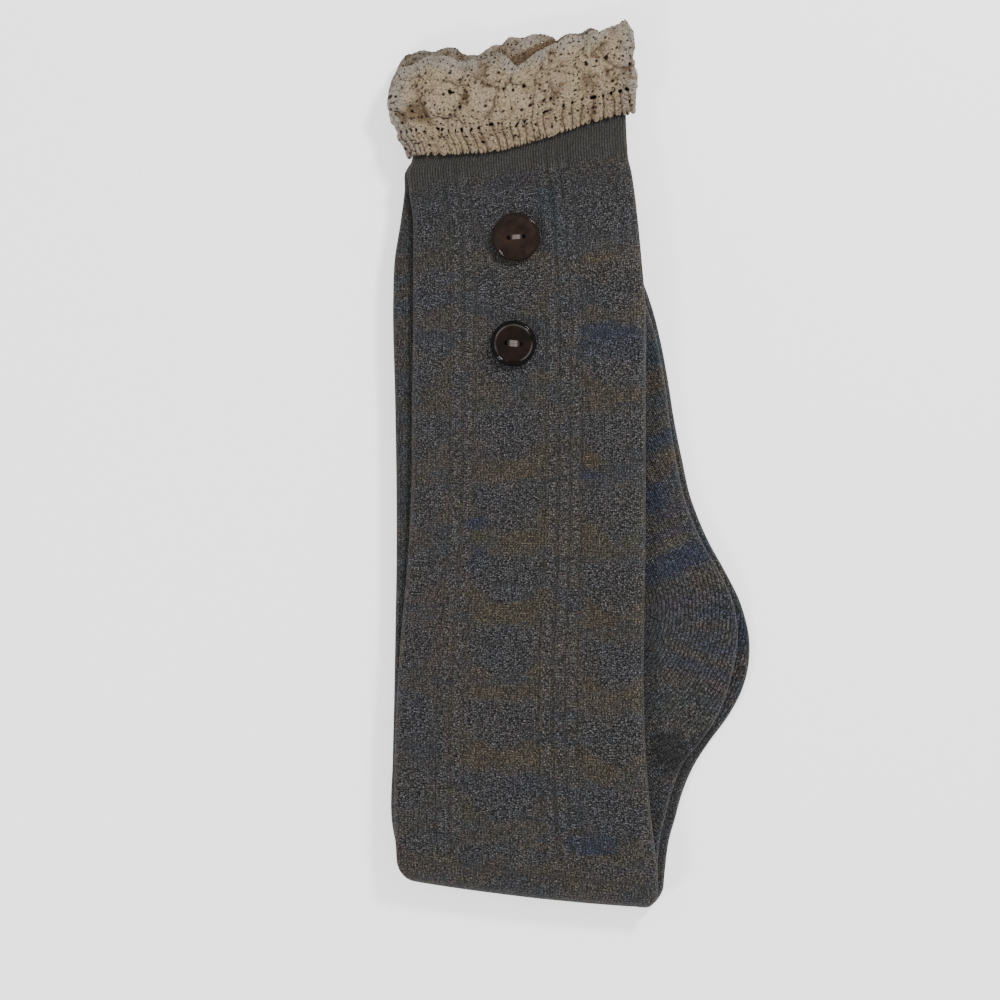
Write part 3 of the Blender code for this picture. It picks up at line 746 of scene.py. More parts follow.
def knit_tube(sock, leg_step, foot_step, front_count, back_count, inner_every):
    """One whole sock: inner wall, rim, outer wall with its relief, and closed toe."""
    leg, middles = leg_track(sock, leg_step)
    legs = len(middles)
    outer_track = leg.joined(fold_track(sock)).joined(foot_track(sock, foot_step))
    columns = ring_columns(front_count, back_count)
    heights = (legs, lambda y: leg_height(sock, y))
    outer = ring_grid(outer_track, columns, outer_track.thickness, 0.0, heights)
    count, shape = len(outer), outer.shape[:2]
    at = np.broadcast_to(columns[:, 1], shape)
    lengths = outer_track.lengths()
    station = np.concatenate((middles, middles[-1] - (lengths[legs:] - lengths[legs - 1])))
    station = np.broadcast_to(station[:, None], shape)
    x, y = outer[..., 0].copy(), outer[..., 1].copy()
    push, motif, ribs, grooves, front_face = tube_relief(sock, columns, at, x, y, station, middles[-1])
    puff = np.where(columns[:, 0] > 0, 1.0, -1.0) * push
    outer = outer + outer_track.up[:, None, :] * puff[..., None]
    fold_end = legs + FOLD_STEPS + 1
    keep = np.unique(np.concatenate((np.arange(0, legs, inner_every), np.arange(legs, fold_end, 2),
                                     np.arange(fold_end, count - int(14 / foot_step), 4))))
    inner_heights = (int((keep < legs).sum()), heights[1])
    inner = ring_grid(outer_track.picked(keep), columns, np.full(len(keep), HOLLOW), WALL, inner_heights)

    def whole(values):
        """The values of the outer wall, with those of the rows that the inner wall keeps first."""
        return np.concatenate((values[keep][::-1], values))

    wale = np.broadcast_to(wale_places(columns), shape)
    course = np.broadcast_to(lengths[:, None] / COURSE, shape)
    cuff = smooth(CUFF_Y[1] - 10.0, CUFF_Y[1] - 4.0, station)
    turn = np.arctan2(y - FAN_CENTRE[1], x - FAN_CENTRE[0])
    fan = smooth(FAN_DOWN - 0.1, FAN_DOWN + 0.3, turn) * smooth(FAN_UP + 0.1, FAN_UP - 0.3, turn)
    fan = fan * (np.arange(count) >= fold_end)[:, None] * smooth(FAN_REACH_BACK, 40.0, x)
    colour, fold_shade = tube_colours(sock, outer, at, station, front_face, legs)
    colour = colour * (1.0 - 0.22 * fan)[..., None] * fold_shade
    # The dye layer carries the dyed colour, darker over the heel's fan, with painted shade round the
    # fold and at the ankle and a painted highlight along the front leg's edge
    layers = {"dye": whole(colour), "motif": whole(motif), "rib": whole(ribs),
              "groove": whole(grooves), "cuff": whole(cuff), "fan": whole(fan)}
    obj = make_mesh(sock.name, np.concatenate((inner[::-1], outer)), whole(np.stack((wale, course), -1)),
                    2 * (FRONT_WALES + EDGE_WALES), layers)
    fan_heel(obj, FAN_REACH_BACK if sock is BACK else FAN_REACH_FRONT, sock is BACK)
    point_out(obj)
    return obj


def fan_place(x, y, z):
    """Stitch place on a bent strip: distance from the fan's centre, and courses round it."""
    x, y = x - FAN_CENTRE[0], y - FAN_CENTRE[1]
    turn = math.atan2(y, x)
    for limit, beyond in ((FAN_UP, turn > FAN_UP), (FAN_DOWN, turn < FAN_DOWN)):
        if beyond:
            along = x * math.cos(limit) + y * math.sin(limit)
            beside = y * math.cos(limit) - x * math.sin(limit)
            return (along - z) / FAN_WALE, (FAN_RADIUS * limit + beside) / COURSE
    return (math.hypot(x, y) - z) / FAN_WALE, turn * FAN_RADIUS / COURSE


def fan_heel(obj, reach, whole_foot):
    """Lay the stitches of the heel, beyond a distance from the fan's centre, on the fan."""
    mesh = obj.data
    layer = mesh.uv_layers["stitch"]
    limit = (CENTRE_Z + 0.5) * MM
    for face in mesh.polygons:
        if face.center.z > limit:
            continue
        x = face.center.x / MM + SHIFT[0]
        y = face.center.y / MM + SHIFT[1]
        away = math.hypot(x - FAN_CENTRE[0], y - FAN_CENTRE[1])
        turn = math.atan2(y - FAN_CENTRE[1], x - FAN_CENTRE[0])
        if whole_foot:
            inside = x > reach
        else:
            inside = away > reach and FAN_DOWN < turn < FAN_UP
        if not inside:
            continue
        for loop in face.loop_indices:
            spot = mesh.vertices[mesh.loops[loop].vertex_index].co
            x, y = spot.x / MM + SHIFT[0], spot.y / MM + SHIFT[1]
            layer.data[loop].uv = fan_place(x, y, spot.z / MM)


def cells(x, y, step, seed, jitter):
    """Distances to the nearest and second nearest point of a jittered lattice."""
    u, v = x / step[0], y / step[1]
    iu, iv = np.floor(u), np.floor(v)
    first = second = np.full(u.shape, FARTHEST)
    for du in (-1, 0, 1):
        for dv in (-1, 0, 1):
            cu, cv = iu + du, iv + dv
            pu = cu + 0.5 + jitter * (scattered(cu, cv, seed * 13.3) - 0.5)
            pv = cv + 0.5 + jitter * (scattered(cu, cv, seed * 7.9, (269.5, 183.3, 24634.6345)) - 0.5)
            away = np.hypot((u - pu) * step[0], (v - pv) * step[1])
            second = np.minimum(second, np.maximum(away, first))
            first = np.minimum(first, away)
    return first, second


def lace_edges(lace, at, behind, near):
    """Heights of the lace's lower edge, its upper edge, and the upper edge of its front alone."""
    low = table_curve(LACE_TOPS, "low", at)
    if lace.sock is FRONT:
        top_front, top_rear = (table_curve(LACE_TOPS, key, at) for key in ("front_top", "rear_top"))
    else:
        top_front = top_rear = table_curve(LACE_TOPS, "back_top", at)
    share = mix(0.5, 1.0, smooth(0.0, 0.06, near))
    top = np.where(behind, mix(top_front, top_rear, share), mix(top_rear, top_front, share))
    return low, top, top_front


def lace_slots(lace, sway, up):
    """How far inside an eyelet, in the grooves between the gathers, each point is."""
    groove = np.round(sway)
    beside = (sway - groove) * LACE_FACE / lace.ribs
    slot = np.full(up.shape, -1.0)
    for level, low_size, size in ((0.245, 0.45, 1.30), (0.13, -0.30, 0.85)):
        pick = value_noise(groove + 0.5, 0.0 * groove + LACE_TALL * level, lace.seed)
        shift = 0.06 * (value_noise(groove + 0.5, 0.0 * groove, lace.seed + 4) - 0.5)
        along = (up - level - shift) * LACE_TALL
        slot = np.maximum(slot, mix(low_size, size, pick) - np.hypot(beside * 1.3, along))
    return slot


def lace_grid(lace):
    """Points round and up the gathered lace, with how much painted shade each one gets in the creases.
    """
    front = (np.arange(lace.front_columns) + 0.5) / lace.front_columns
    rear = 1.0 - (np.arange(lace.rear_columns) + 0.5) / lace.rear_columns
    at, up = np.meshgrid(np.concatenate((front, rear)), np.linspace(0.0, 1.0, lace.rows))
    behind = np.broadcast_to(np.arange(at.shape[1]) >= lace.front_columns, at.shape)
    near = np.minimum(at, 1.0 - at)
    low, top, top_front = lace_edges(lace, at, behind, near)
    left, right, gathers, puffs, ruffles = (table_curve(LACE_ROWS, key, up) for key in Up._fields[1:])
    flat_x = np.where(behind, LACE_ROUND - at * LACE_FACE, at * LACE_FACE)
    flat_y = up * (top - low)

    def noise(x_scale, y_scale, seed, octaves=2):
        return layered_noise(flat_x * x_scale, flat_y * y_scale, lace.seed + seed, octaves)

    # The small gathers, puffs and crinkles of the lace laid flat
    warp_x = flat_x + 11.0 * (noise(0.10, 0.10, 40, 3) - 0.5)
    warp_y = flat_y + 12.0 * (noise(0.10, 0.10, 60, 3) - 0.5)
    uneven = 2.6 * (layered_noise(flat_x * 0.12, flat_y * 0.03 + 2.0, lace.seed + 90, 2) - 0.5)
    sway = (flat_x + 0.25 * (warp_x - flat_x)) / LACE_FACE * lace.ribs + uneven
    gather_wave = np.abs(np.sin(math.pi * sway)) ** 0.55
    gathers = gathers * mix(0.65, 1.25, noise(0.10, 0.0, 93))
    first, second = cells(warp_x, warp_y + 7.0, PUFF_STEP, lace.seed, 0.95)
    puff = 1.0 - np.exp(-(second - first) / 2.6)
    first, second = cells(warp_x + 0.6 * warp_y, warp_y, CRINKLE_STEP, lace.seed + 5, 0.9)
    crinkle = 1.0 - np.exp(-(second - first) / 1.8)
    small = noise(0.7, 0.7, 31) - 0.5
    wander = 0.10 * (layered_noise(at * 6.0, up * 2.0 + 4.0, lace.seed + 2, 2) - 0.5)
    ruffle_phase = 2.0 * math.pi * lace.ruffles * (at + wander) + 0.8 * lace.seed
    free = smooth(0.24, 0.40, up)
    rows = np.sin(2.0 * math.pi * (flat_y / 1.9 + 0.5 * np.round(sway) + 1.6 * noise(0.35, 0.35, 15)))
    lumps = noise(0.30, 0.27, 37, 3) - 0.5

    # How far the surface stands out from the sock and up from its place
    out = 1.0 * gathers * (gather_wave - 0.45 + 0.20 * rows) + 3.0 * puffs * (puff - 0.35)
    out = out + (0.6 * (crinkle - 0.5) + 2.8 * lumps) * mix(0.2, 1.0, free) + 0.7 * small
    out = out * lace.depth * mix(1.0, 0.25, smooth(0.72, 1.0, up))
    lift = 1.3 * ruffles * np.sin(ruffle_phase) * lace.depth
    knit = 0.5 * LAYER + SEAM_GAP + 0.25
    mouth = smooth(LACE_KNIT_SHARE, LACE_KNIT_SHARE + 0.12, up)
    half = mix(knit, 0.5 * MOUTH_GAP, mouth) + 0.5 * LACE_THICKNESS
    lowest = np.where(up < LACE_KNIT_SHARE + 0.06, 0.0, -0.5)
    wave = np.where(behind, 0.45, 1.0) * out
    height = half + np.maximum(0.75 + wave, lowest)
    close = np.sqrt(1.0 - (1.0 - np.clip(near / 0.045, 0.0, 1.0)) ** 2)

    # Places across, up and over the sock
    inner = smooth(0.0, 0.05, near)
    x = mix(lace.left - left, lace.right + right, at)
    x = x + (0.8 * ruffles * np.cos(ruffle_phase) + 1.0 * puffs * small) * inner
    x = x + np.where(at < 0.5, -1.0, 1.0) * 0.45 * out * (1.0 - inner)
    teeth = mix(0.6, 2.9, noise(0.45, 0.0, 7))
    scallop = -1.3 * (gather_wave - 0.5) - teeth * (np.abs(np.sin(math.pi * 2.0 * sway)) - 0.5)
    picot = 0.6 * np.abs(np.sin(math.pi * 58.0 * at)) + 0.5 * (puff - 0.5)
    y = mix(low, top, up) + scallop * smooth(0.10, 0.0, up) + picot * smooth(0.93, 1.0, up)
    slump = -1.6 * puffs * puff * smooth(0.24, 0.36, up) * smooth(0.62, 0.42, up)
    y = y + slump + 0.7 * small * free + 0.6 * ruffles * np.cos(ruffle_phase * 1.7 + 1.0)
    z = leg_height(lace.sock, y) + np.where(behind, -1.0, 1.0) * height * close
    z = np.maximum(z + lift * np.where(behind, 0.5, 1.0), 0.5 + 0.2 * crinkle)

    # Painted shade: creases, the lower rows and the mouth behind the front's edge go brown; edges and
    # the rear turn paler
    fading = smooth(0.30, 0.62, noise(0.12, 0.12, 80))
    patchy = smooth(0.40, 0.66, noise(0.62, 0.62, 12))
    inside = np.where(behind, smooth(0.34, 0.48, at) * smooth(0.995, 0.95, at), 0.0)
    crease = 1.0 * puffs * fading * np.exp(-(puff / 0.40) ** 2)
    crease = crease + 1.5 * gathers * np.exp(-(gather_wave / 0.56) ** 2) + 0.22 * smooth(0.26, 0.16, up)
    crease = crease + 0.26 * mix(0.3, 1.0, free) * (1.2 - fading) * np.exp(-(crinkle / 0.30) ** 2)
    crease = crease + mix(0.25, 1.15, patchy) * smooth(-0.06, -0.20, lumps) * mix(0.3, 1.0, free)
    crease = crease + 0.42 * np.minimum(gathers, 1.0) * smooth(-0.35, -0.95, rows)
    # Painted shade in the mouth: the rear layer just above the front's edge darkens
    crease = crease + 1.1 * inside * smooth(5.5, 0.5, y - top_front)
    # Paler, greyer thread at the side edges, near the top and on the rear layer, kept off just above the
    # front's edge
    worn = np.maximum(smooth(0.085, 0.02, near), smooth(0.80, 1.0, up + 0.25 * lumps))
    worn = np.maximum(worn, np.where(behind, 0.8, 0.0))
    worn = worn * (1.0 - 0.8 * inside * smooth(7.0, 2.0, y - top_front))
    points, flat = np.stack((x, y, z), -1), np.stack((flat_x, flat_y), -1)
    return points, flat, np.clip(crease, 0.0, 1.3), worn, up, lace_slots(lace, sway, up)


def open_round(hole, away, near_x, radius):
    """Note an opening of a radius in the columns near it."""
    hole[:, near_x] = np.maximum(hole[:, near_x], radius - away)


def lace_holes(lace, flat, up):
    """How far inside an opening each point is: pinholes all over and two rows of eyelets."""
    hole = np.full(up.shape, -1.0)
    random = np.random.default_rng(lace.seed)
    spread_x, spread_y = flat[..., 0], flat[..., 1]
    for row in range(1, int(float(spread_y.max()) / HOLE_STEP[1])):
        for place in range(int(2.0 * LACE_FACE / HOLE_STEP[0])):
            x = (place + 0.5 * (row % 2) + random.uniform(-0.35, 0.35)) * HOLE_STEP[0]
            y = (row + random.uniform(-0.35, 0.35)) * HOLE_STEP[1]
            radius = random.uniform(0.24, 0.50)
            near_x = np.abs(spread_x[0] - x) < 1.6
            if random.random() < PINHOLE_SKIP or not near_x.any():
                continue
            away = np.hypot(spread_x[:, near_x] - x, spread_y[:, near_x] - y)
            open_round(hole, away, near_x, radius)
    hole[up > 0.94] = -1.0
    for level, chance, low, high, end in ((0.255, 0.3, 0.42, 0.75, 2.0 * LACE_FACE),
                                          (0.66, 0.5, 0.4, 1.15, 90.0)):
        x = 1.0
        while x < end:
            middle = level + random.uniform(-0.02, 0.02)
            radius = random.uniform(low, high)
            if random.random() < chance:
                near_x = np.abs(spread_x[0] - x) < 2.5
                away = np.hypot((spread_x[:, near_x] - x) * 1.25, (up[:, near_x] - middle) * LACE_TALL)
                open_round(hole, away, near_x, radius)
            x += random.uniform(2.4, 4.6)
    return hole


def lace_ring(lace):
    """The lace as one sheet with its holes cut, then given its thickness."""
    grid, flat, crease, worn, up, slot = lace_grid(lace)
    hole = np.maximum(lace_holes(lace, flat, up) + 0.20 * np.clip(crease - 0.1, 0.0, 1.0), slot)
    # The rims of the holes are darkened in the material: painted shade in the holes
    rim = smooth(-0.55, 0.0, hole)
    layers = {"crease": crease, "rim": rim, "worn": worn}
    obj = make_mesh(lace.name, grid, flat, LACE_ROUND, layers, caps=False)
    inside = hole.ravel() > 0.0
    with edited(obj.data) as mesh:
        gone = [face for face in mesh.faces if sum(inside[v.index] for v in face.verts) >= 3]
        bmesh.ops.delete(mesh, geom=gone, context="FACES")
        loose = [vert for vert in mesh.verts if not vert.link_faces]
        bmesh.ops.delete(mesh, geom=loose, context="VERTS")
        rims = [vert for vert in mesh.verts if vert.is_boundary]
        bmesh.ops.smooth_vert(mesh, verts=rims, factor=0.5, use_axis_x=True, use_axis_y=True,
                              use_axis_z=True)
    finish_modifier(obj, "SOLIDIFY", thickness=LACE_THICKNESS * MM, offset=0.0,
                    use_even_offset=False)
    return obj


def finish_modifier(obj, kind, **settings):
    """Add a modifier with its settings and apply it."""
    modifier = obj.modifiers.new(kind.lower(), kind)
    for key, value in settings.items():
        setattr(modifier, key, value)
    choose(obj)
    bpy.ops.object.modifier_apply(modifier=modifier.name)


def dress(obj, material, node):
    """Give a piece its material, put it in place of its node and let it ride."""
    obj.data.materials.clear()
    obj.data.materials.append(material)
    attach(obj, BODY)
    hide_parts(node)


class Nodes:
    """A small builder for shader nodes and their links."""

    def __init__(self, tree):
        self.tree = tree

    def add(self, kind, inputs=None, **settings):
        """A new node with its settings, and its inputs linked or set."""
        prefix = "" if kind.startswith("NodeGroup") else "ShaderNode"
        node = self.tree.nodes.new(prefix + kind)
        for key, value in settings.items():
            setattr(node, key, value)
        self.fill(node, inputs or {})
        return node

    def fill(self, node, inputs):
        for key, value in inputs.items():
            if hasattr(value, "is_output"):
                self.tree.links.new(value, node.inputs[key])
            else:
                node.inputs[key].default_value = value

    def math(self, operation, *inputs, clamp=False):
        return self.add("Math", dict(enumerate(inputs)), operation=operation, use_clamp=clamp).outputs[0]

    plus = partialmethod(math, "ADD")
    minus = partialmethod(math, "SUBTRACT")
    times = partialmethod(math, "MULTIPLY")
    power = partialmethod(math, "POWER")
    most = partialmethod(math, "MAXIMUM")
    fraction = partialmethod(math, "FRACT")
    floor = partialmethod(math, "FLOOR")

    def hump(self, value, power):
        """A rounded rise and fall as a value goes from 0 to 1."""
        return self.power(self.math("SINE", self.times(value, math.pi)), power)

    def lerp(self, first, second, factor):
        return self.add("Mix", {0: factor, 2: first, 3: second}, data_type="FLOAT").outputs[0]

    def mix_colour(self, factor, first, second, blend="MIX"):
        inputs = {0: factor, 6: first, 7: second}
        return self.add("Mix", inputs, data_type="RGBA", blend_type=blend).outputs[2]

    def shaded(self, colour, value):
        """A colour made lighter or darker by a value."""
        grey = self.add("CombineColor", {0: value, 1: value, 2: value}).outputs[0]
        return self.mix_colour(1.0, colour, grey, "MULTIPLY")

    def between(self, factor, low, high):
        return self.add("MapRange", {0: factor, 3: low, 4: high}).outputs[0]

    def attribute(self, name, kind="Fac"):
        return self.add("Attribute", attribute_name=name).outputs[kind]

    def noise(self, vector, scale, detail=2.0, roughness=0.5):
        inputs = {"Vector": vector, "Scale": scale, "Detail": detail, "Roughness": roughness}
        return self.add("TexNoise", inputs).outputs["Fac"]

    def spots(self, vector, scale, scatter):
        """Round cells over a surface: the distance from each cell's middle, and a colour of its own."""
        inputs = {"Vector": vector, "Scale": scale, "Randomness": scatter}
        return self.add("TexVoronoi", inputs, voronoi_dimensions="2D", feature="F1").outputs

    def red(self, colour):
        return self.add("SeparateColor", {0: colour}).outputs[0]

    def bump(self, height, strength, distance):
        inputs = {"Height": height, "Strength": strength, "Distance": distance}
        return self.add("Bump", inputs).outputs[0]


def stitch_group():
    """Shader group for knitting: height of the loops and a random value for each of them."""
    name = "Knitted Stitches"
    if name in bpy.data.node_groups:
        return bpy.data.node_groups[name]
    tree = bpy.data.node_groups.new(name, "ShaderNodeTree")
    for way, kind, labels in (("INPUT", "Vector", ("Vector",)),
                              ("INPUT", "Float", ("Seed Stitch", "Purl Rib", "Fine Rib")),
                              ("OUTPUT", "Float", ("Height", "Yarn"))):
        for label in labels:
            tree.interface.new_socket(label, in_out=way, socket_type="NodeSocket" + kind)
    n = Nodes(tree)
    given = n.add("NodeGroupInput").outputs
    place = n.add("SeparateXYZ", {0: given["Vector"]}).outputs
    u, v = place[0], place[1]
    side = n.times(n.math("ABSOLUTE", n.minus(n.fraction(u), 0.5)), 2.0)
    phase = n.plus(v, n.times(side, 0.6))
    across = n.hump(side, 0.4)
    around = n.hump(n.fraction(phase), 0.5)
    valley = n.minus(1.0, n.power(side, 3.0))
    plain = n.times(n.times(across, around), n.plus(0.35, n.times(valley, 0.65)))
    half_wale = n.plus(n.times(n.floor(u), 2.0), n.math("GREATER_THAN", n.fraction(u), 0.5))
    half_stitch = n.add("CombineXYZ", {0: half_wale, 1: n.floor(phase)}).outputs[0]
    marl = n.add("TexWhiteNoise", {"Vector": half_stitch}, noise_dimensions="2D")
    seeds = n.spots(given["Vector"], 1.42, 0.75)
    dot = n.minus(1.19, n.times(seeds["Distance"], 1.60), clamp=True)
    bar = n.hump(n.fraction(n.times(v, 0.85)), 0.7)
    bar = n.times(bar, n.plus(0.55, n.times(across, 0.45)))
    smooth_rib = n.times(valley, n.plus(0.75, n.times(around, 0.25)))
    seed, purl, fine = (given[key] for key in ("Seed Stitch", "Purl Rib", "Fine Rib"))
    height = n.lerp(plain, dot, seed)
    height = n.lerp(height, n.lerp(dot, bar, 0.25), purl)
    height = n.lerp(height, smooth_rib, fine)
    yarn = n.lerp(marl.outputs["Value"], n.red(seeds["Color"]), n.most(seed, purl))
    n.add("NodeGroupOutput", {"Height": height, "Yarn": yarn})
    return tree


def new_material(name):
    material = bpy.data.materials.new(name)
    material.use_nodes = True
    return material, Nodes(material.node_tree), material.node_tree.nodes["Principled BSDF"]


def toned(red, green, blue, tone=1.0):
    return (red * tone, green * tone, blue * tone, 1.0)


def knit_material(name, tone):
    """Marled, space-dyed knitting on the piece's own stitch map, with painted shade on the loops and in
    the grooves.
    """
    material, n, shader = new_material(name)
    stitch = n.add("UVMap", uv_map="stitch").outputs[0]
    marks = ("motif", "rib", "cuff", "groove", "fan")
    motif, purl, cuff, groove, fan = (n.attribute(key) for key in marks)
    knit = n.add("Group", node_tree=stitch_group())
    n.fill(knit, {"Vector": stitch, "Seed Stitch": n.between(motif, 0.30, 1.0), "Purl Rib": purl,
                  "Fine Rib": n.most(cuff, n.times(fan, 0.5))})
    height, yarn = knit.outputs["Height"], knit.outputs["Yarn"]
    plain_yarn = n.most(n.times(motif, 0.60), n.times(purl, 0.35))
    # The dye attribute also holds painted shade round the fold and at the ankle, and a painted highlight
    # along the leg's edge
    colour = n.mix_colour(plain_yarn, n.attribute("dye", "Color"), toned(0.0585, 0.0585, 0.0650))
    colour = n.mix_colour(n.times(cuff, 0.85), colour, toned(0.0330, 0.0315, 0.0280))
    strong = n.plus(0.48, n.times(n.power(yarn, 1.2), 1.25))
    even = n.between(yarn, 0.28, 1.9)
    marl = n.lerp(even, strong, n.between(motif, 0.2, 0.9))
    marl = n.lerp(marl, 1.15, n.times(cuff, 0.55))
    twist = n.minus(n.noise(stitch, 1.8, 1.0, 0.5), 0.5)
    twist = n.plus(1.0, n.times(twist, n.lerp(5.6, 2.8, cuff)))
    marl = n.times(marl, n.most(twist, 0.10))
    # Painted shade: loop tops lighter, the gaps between loops and the grooves beside the ribs darker
    shade = n.plus(n.lerp(-0.10, 0.16, cuff), n.times(height, n.lerp(1.74, 1.25, cuff)))
    shade = n.times(n.most(shade, 0.05), n.minus(1.0, n.times(groove, 0.32)))
    colour = n.shaded(colour, n.times(n.times(marl, tone), shade))
    fuzz = n.noise(n.add("TexCoord").outputs["Object"], 2500.0, 3.0, 0.6)
    relief = n.plus(height, n.times(fuzz, 0.35))
    n.fill(shader, {"Base Color": colour, "Normal": n.bump(relief, 0.9, 0.0005), "Roughness": 0.92,
                    "Sheen Weight": 0.10, "Sheen Roughness": 0.5, "Specular IOR Level": 0.2})
    return material


def lace_material(name, tone):
    """Cream crocheted cotton: loops of thread with painted shade between them, pinholes painted dark for
    the shade in them, and painted shade in warm brown down in the creases.
    """
    material, n, shader = new_material(name)
    vector = n.add("UVMap", uv_map="stitch").outputs[0]
    loops = n.spots(vector, 1.15, 0.9)["Distance"]
    grain = n.noise(vector, 2.5, 3.0, 0.6)
    wide = n.noise(vector, 0.16, 2.0, 0.5)
    pins = n.spots(vector, 0.62, 1.0)
    size = n.times(n.minus(n.red(pins["Color"]), 0.20, clamp=True), 0.36)
    pin = n.times(n.minus(size, pins["Distance"], clamp=True), 14.0, clamp=True)
    tint = n.times(n.minus(n.noise(vector, 0.075, 1.0, 0.5), 0.36), 3.6, clamp=True)
    light = n.mix_colour(tint, toned(0.497, 0.381, 0.264, tone), toned(0.485, 0.390, 0.241, tone))
    pale = toned(0.40, 0.355, 0.300, tone)
    # Paler, greyer thread at the side edges, near the top and on the rear layer
    light = n.mix_colour(n.times(n.attribute("worn"), 0.9), light, pale)
    # Painted shade: warm brown in the creases, varied by broad and fine noise
    amount = n.plus(n.times(n.attribute("crease"), 0.8), n.times(n.minus(wide, 0.5), 0.5))
    amount = n.plus(amount, n.times(n.minus(grain, 0.5), 0.7), clamp=True)
    colour = n.mix_colour(amount, light, toned(0.190, 0.122, 0.066, tone))
    # Painted shade between the loops of thread, with the grain's random tone
    loop_shade = n.minus(1.25, n.times(loops, 0.75))
    colour = n.shaded(colour, n.times(loop_shade, n.between(grain, 0.40, 1.58)))
    # Painted shade: pinholes and the rims of the cut holes turn near black, for the shade seen through
    # them
    hole_shade = n.most(pin, n.times(n.power(n.attribute("rim"), 3.0), 0.85))
    colour = n.mix_colour(hole_shade, colour, toned(0.030, 0.018, 0.010))
    height = n.minus(n.times(grain, 0.6), n.times(loops, 0.8))
    height = n.minus(height, n.times(pin, 1.2))
    n.fill(shader, {"Base Color": colour, "Normal": n.bump(height, 1.0, 0.0006), "Roughness": 0.9,
                    "Sheen Weight": 0.08, "Specular IOR Level": 0.2})
    return material


def button_material(name, look):
    """Glossy mottled plastic like horn, with a darker rim and a painted reflection as a pale line inside
    it.
    """
    material, n, shader = new_material(name)
    spot = n.add("TexCoord").outputs["Object"]
    swirl = n.times(n.minus(n.noise(spot, 150.0, 3.0, 0.55), 0.35), 3.3, clamp=True)
    colour = n.mix_colour(swirl, toned(*look.dark), toned(*look.light))
    colour = n.mix_colour(n.attribute("rim"), colour, toned(*look.rim))
    patchy = n.times(n.minus(n.noise(spot, 180.0), 0.40), 5.0, clamp=True)
    # Painted reflection: a pale, patchy line where the rim's inner slope would catch the light
    line = n.times(n.attribute("line"), n.times(patchy, look.ring))
    n.fill(shader, {"Base Color": n.mix_colour(line, colour, toned(0.20, 0.18, 0.165)),
                    "Roughness": n.between(n.noise(spot, 400.0), 0.06, 0.13),
                    "Specular IOR Level": 0.11, "Coat Weight": 0.08, "Coat Roughness": 0.06})
    return material


def thread_material():
    material, n, shader = new_material("sewing_thread")
    grain = n.noise(n.add("TexCoord").outputs["Object"], 3000.0, 2.0, 0.5)
    colour = n.mix_colour(grain, toned(0.085, 0.064, 0.059), toned(0.160, 0.126, 0.118))
    # Painted shade on the strands away from the middle, where they dive into the holes
    colour = n.mix_colour(n.times(n.attribute("soiled"), 0.9), colour, toned(0.012, 0.008, 0.006))
    n.fill(shader, {"Base Color": colour, "Roughness": 0.7})
    return material


def button_profile(button, radius, height):
    """Half of the button's section: back, rounded edge, rim, dish and flat middle."""
    floor = height - button.dish
    edge = 0.55 * button.rim_width
    crest = radius - edge
    points = [(0.0, 0.0), (0.62 * radius, 0.0), (0.80 * radius, 0.12), (0.90 * radius, 0.5)]
    middle = 0.56 * height
    for step in range(13):
        turn = math.radians(-60.0 + 150.0 * step / 12)
        points.append((crest + edge * math.cos(turn), middle + (height - middle) * math.sin(turn)))
    for step in range(1, 9):
        turn = math.radians(90.0 * step / 8)
        fallen = height - 0.55 * (1.0 - math.cos(turn))
        points.append((crest - 0.5 * button.rim_width * math.sin(turn), fallen))
    inner = points[-1]
    for step in range(1, 13):
        t = step / 12
        drop = (inner[1] - floor) * (0.5 - 0.5 * math.cos(math.pi * t ** 0.8))
        points.append((inner[0] * (1.0 - 0.78 * t), inner[1] - drop))
    points.append((0.0, floor))
    return points


def reach_from(centre, mesh, along=1.0):
    """Distance of each vertex from a button's middle, with its part in y scaled."""
    return np.array([math.hypot(vert.co.x - centre.x, along * (vert.co.y - centre.y)) / MM
                     for vert in mesh.vertices])


def turned_button(button):
    """A button turned from its profile, with two sewing holes cut through it."""
    low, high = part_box(button.node)
    centre = (low + high) * 0.5
    radius = (high.x - low.x) * 0.5 / MM
    height = (high.z - low.z) / MM
    points = button_profile(button, radius, height)
    data = bpy.data.meshes.new(button.name)
    with edited(data) as mesh:
        verts = [mesh.verts.new((r * MM, 0.0, z * MM)) for r, z in points]
        edges = [mesh.edges.new(pair) for pair in zip(verts, verts[1:])]
        bmesh.ops.spin(mesh, geom=verts + edges, cent=(0, 0, 0), axis=(0, 0, 1), angle=2.0 * math.pi,
                       steps=BUTTON_SIDES, use_merge=True)
        bmesh.ops.remove_doubles(mesh, verts=mesh.verts, dist=1e-6)
        bmesh.ops.recalc_face_normals(mesh, faces=mesh.faces)
    obj = add_object(button.name, data)
    for side in (-1.0, 1.0):
        drill(obj, side * 0.5 * HOLE_SPACING)
    obj.data.transform(turned(button.turn_deg))
    obj.data.transform(shifted(centre.x, centre.y, low.z))
    inner = radius - button.rim_width
    reach = reach_from(centre, obj.data)
    point_layer(obj.data, "rim", smooth(inner - 0.3, inner + 0.3, reach))
    # Where the painted reflection runs, just inside the rim
    point_layer(obj.data, "line", np.exp(-((reach - inner) / 0.15) ** 2))
    shade_soft(obj)
    return obj, centre, low.z / MM + height - button.dish


def turned(degrees):
    return Matrix.Rotation(math.radians(degrees), 4, "Z")


def shifted(x, y, z):
    return Matrix.Translation((x, y, z))


def shade_soft(obj):
    choose(obj)
    bpy.ops.object.shade_smooth_by_angle(angle=math.radians(BUTTON_BLEND_DEG))


def drill(obj, x):
    """Cut one sewing hole through a button at the origin."""
    bpy.ops.object.select_all(action="DESELECT")
    bpy.ops.mesh.primitive_cylinder_add(vertices=24, radius=HOLE_RADIUS * MM, depth=20.0 * MM,
                                        location=(x * MM, 0, 0))
    cutter = bpy.context.object
    finish_modifier(obj, "BOOLEAN", operation="DIFFERENCE", solver="EXACT", object=cutter)
    bpy.data.objects.remove(cutter)


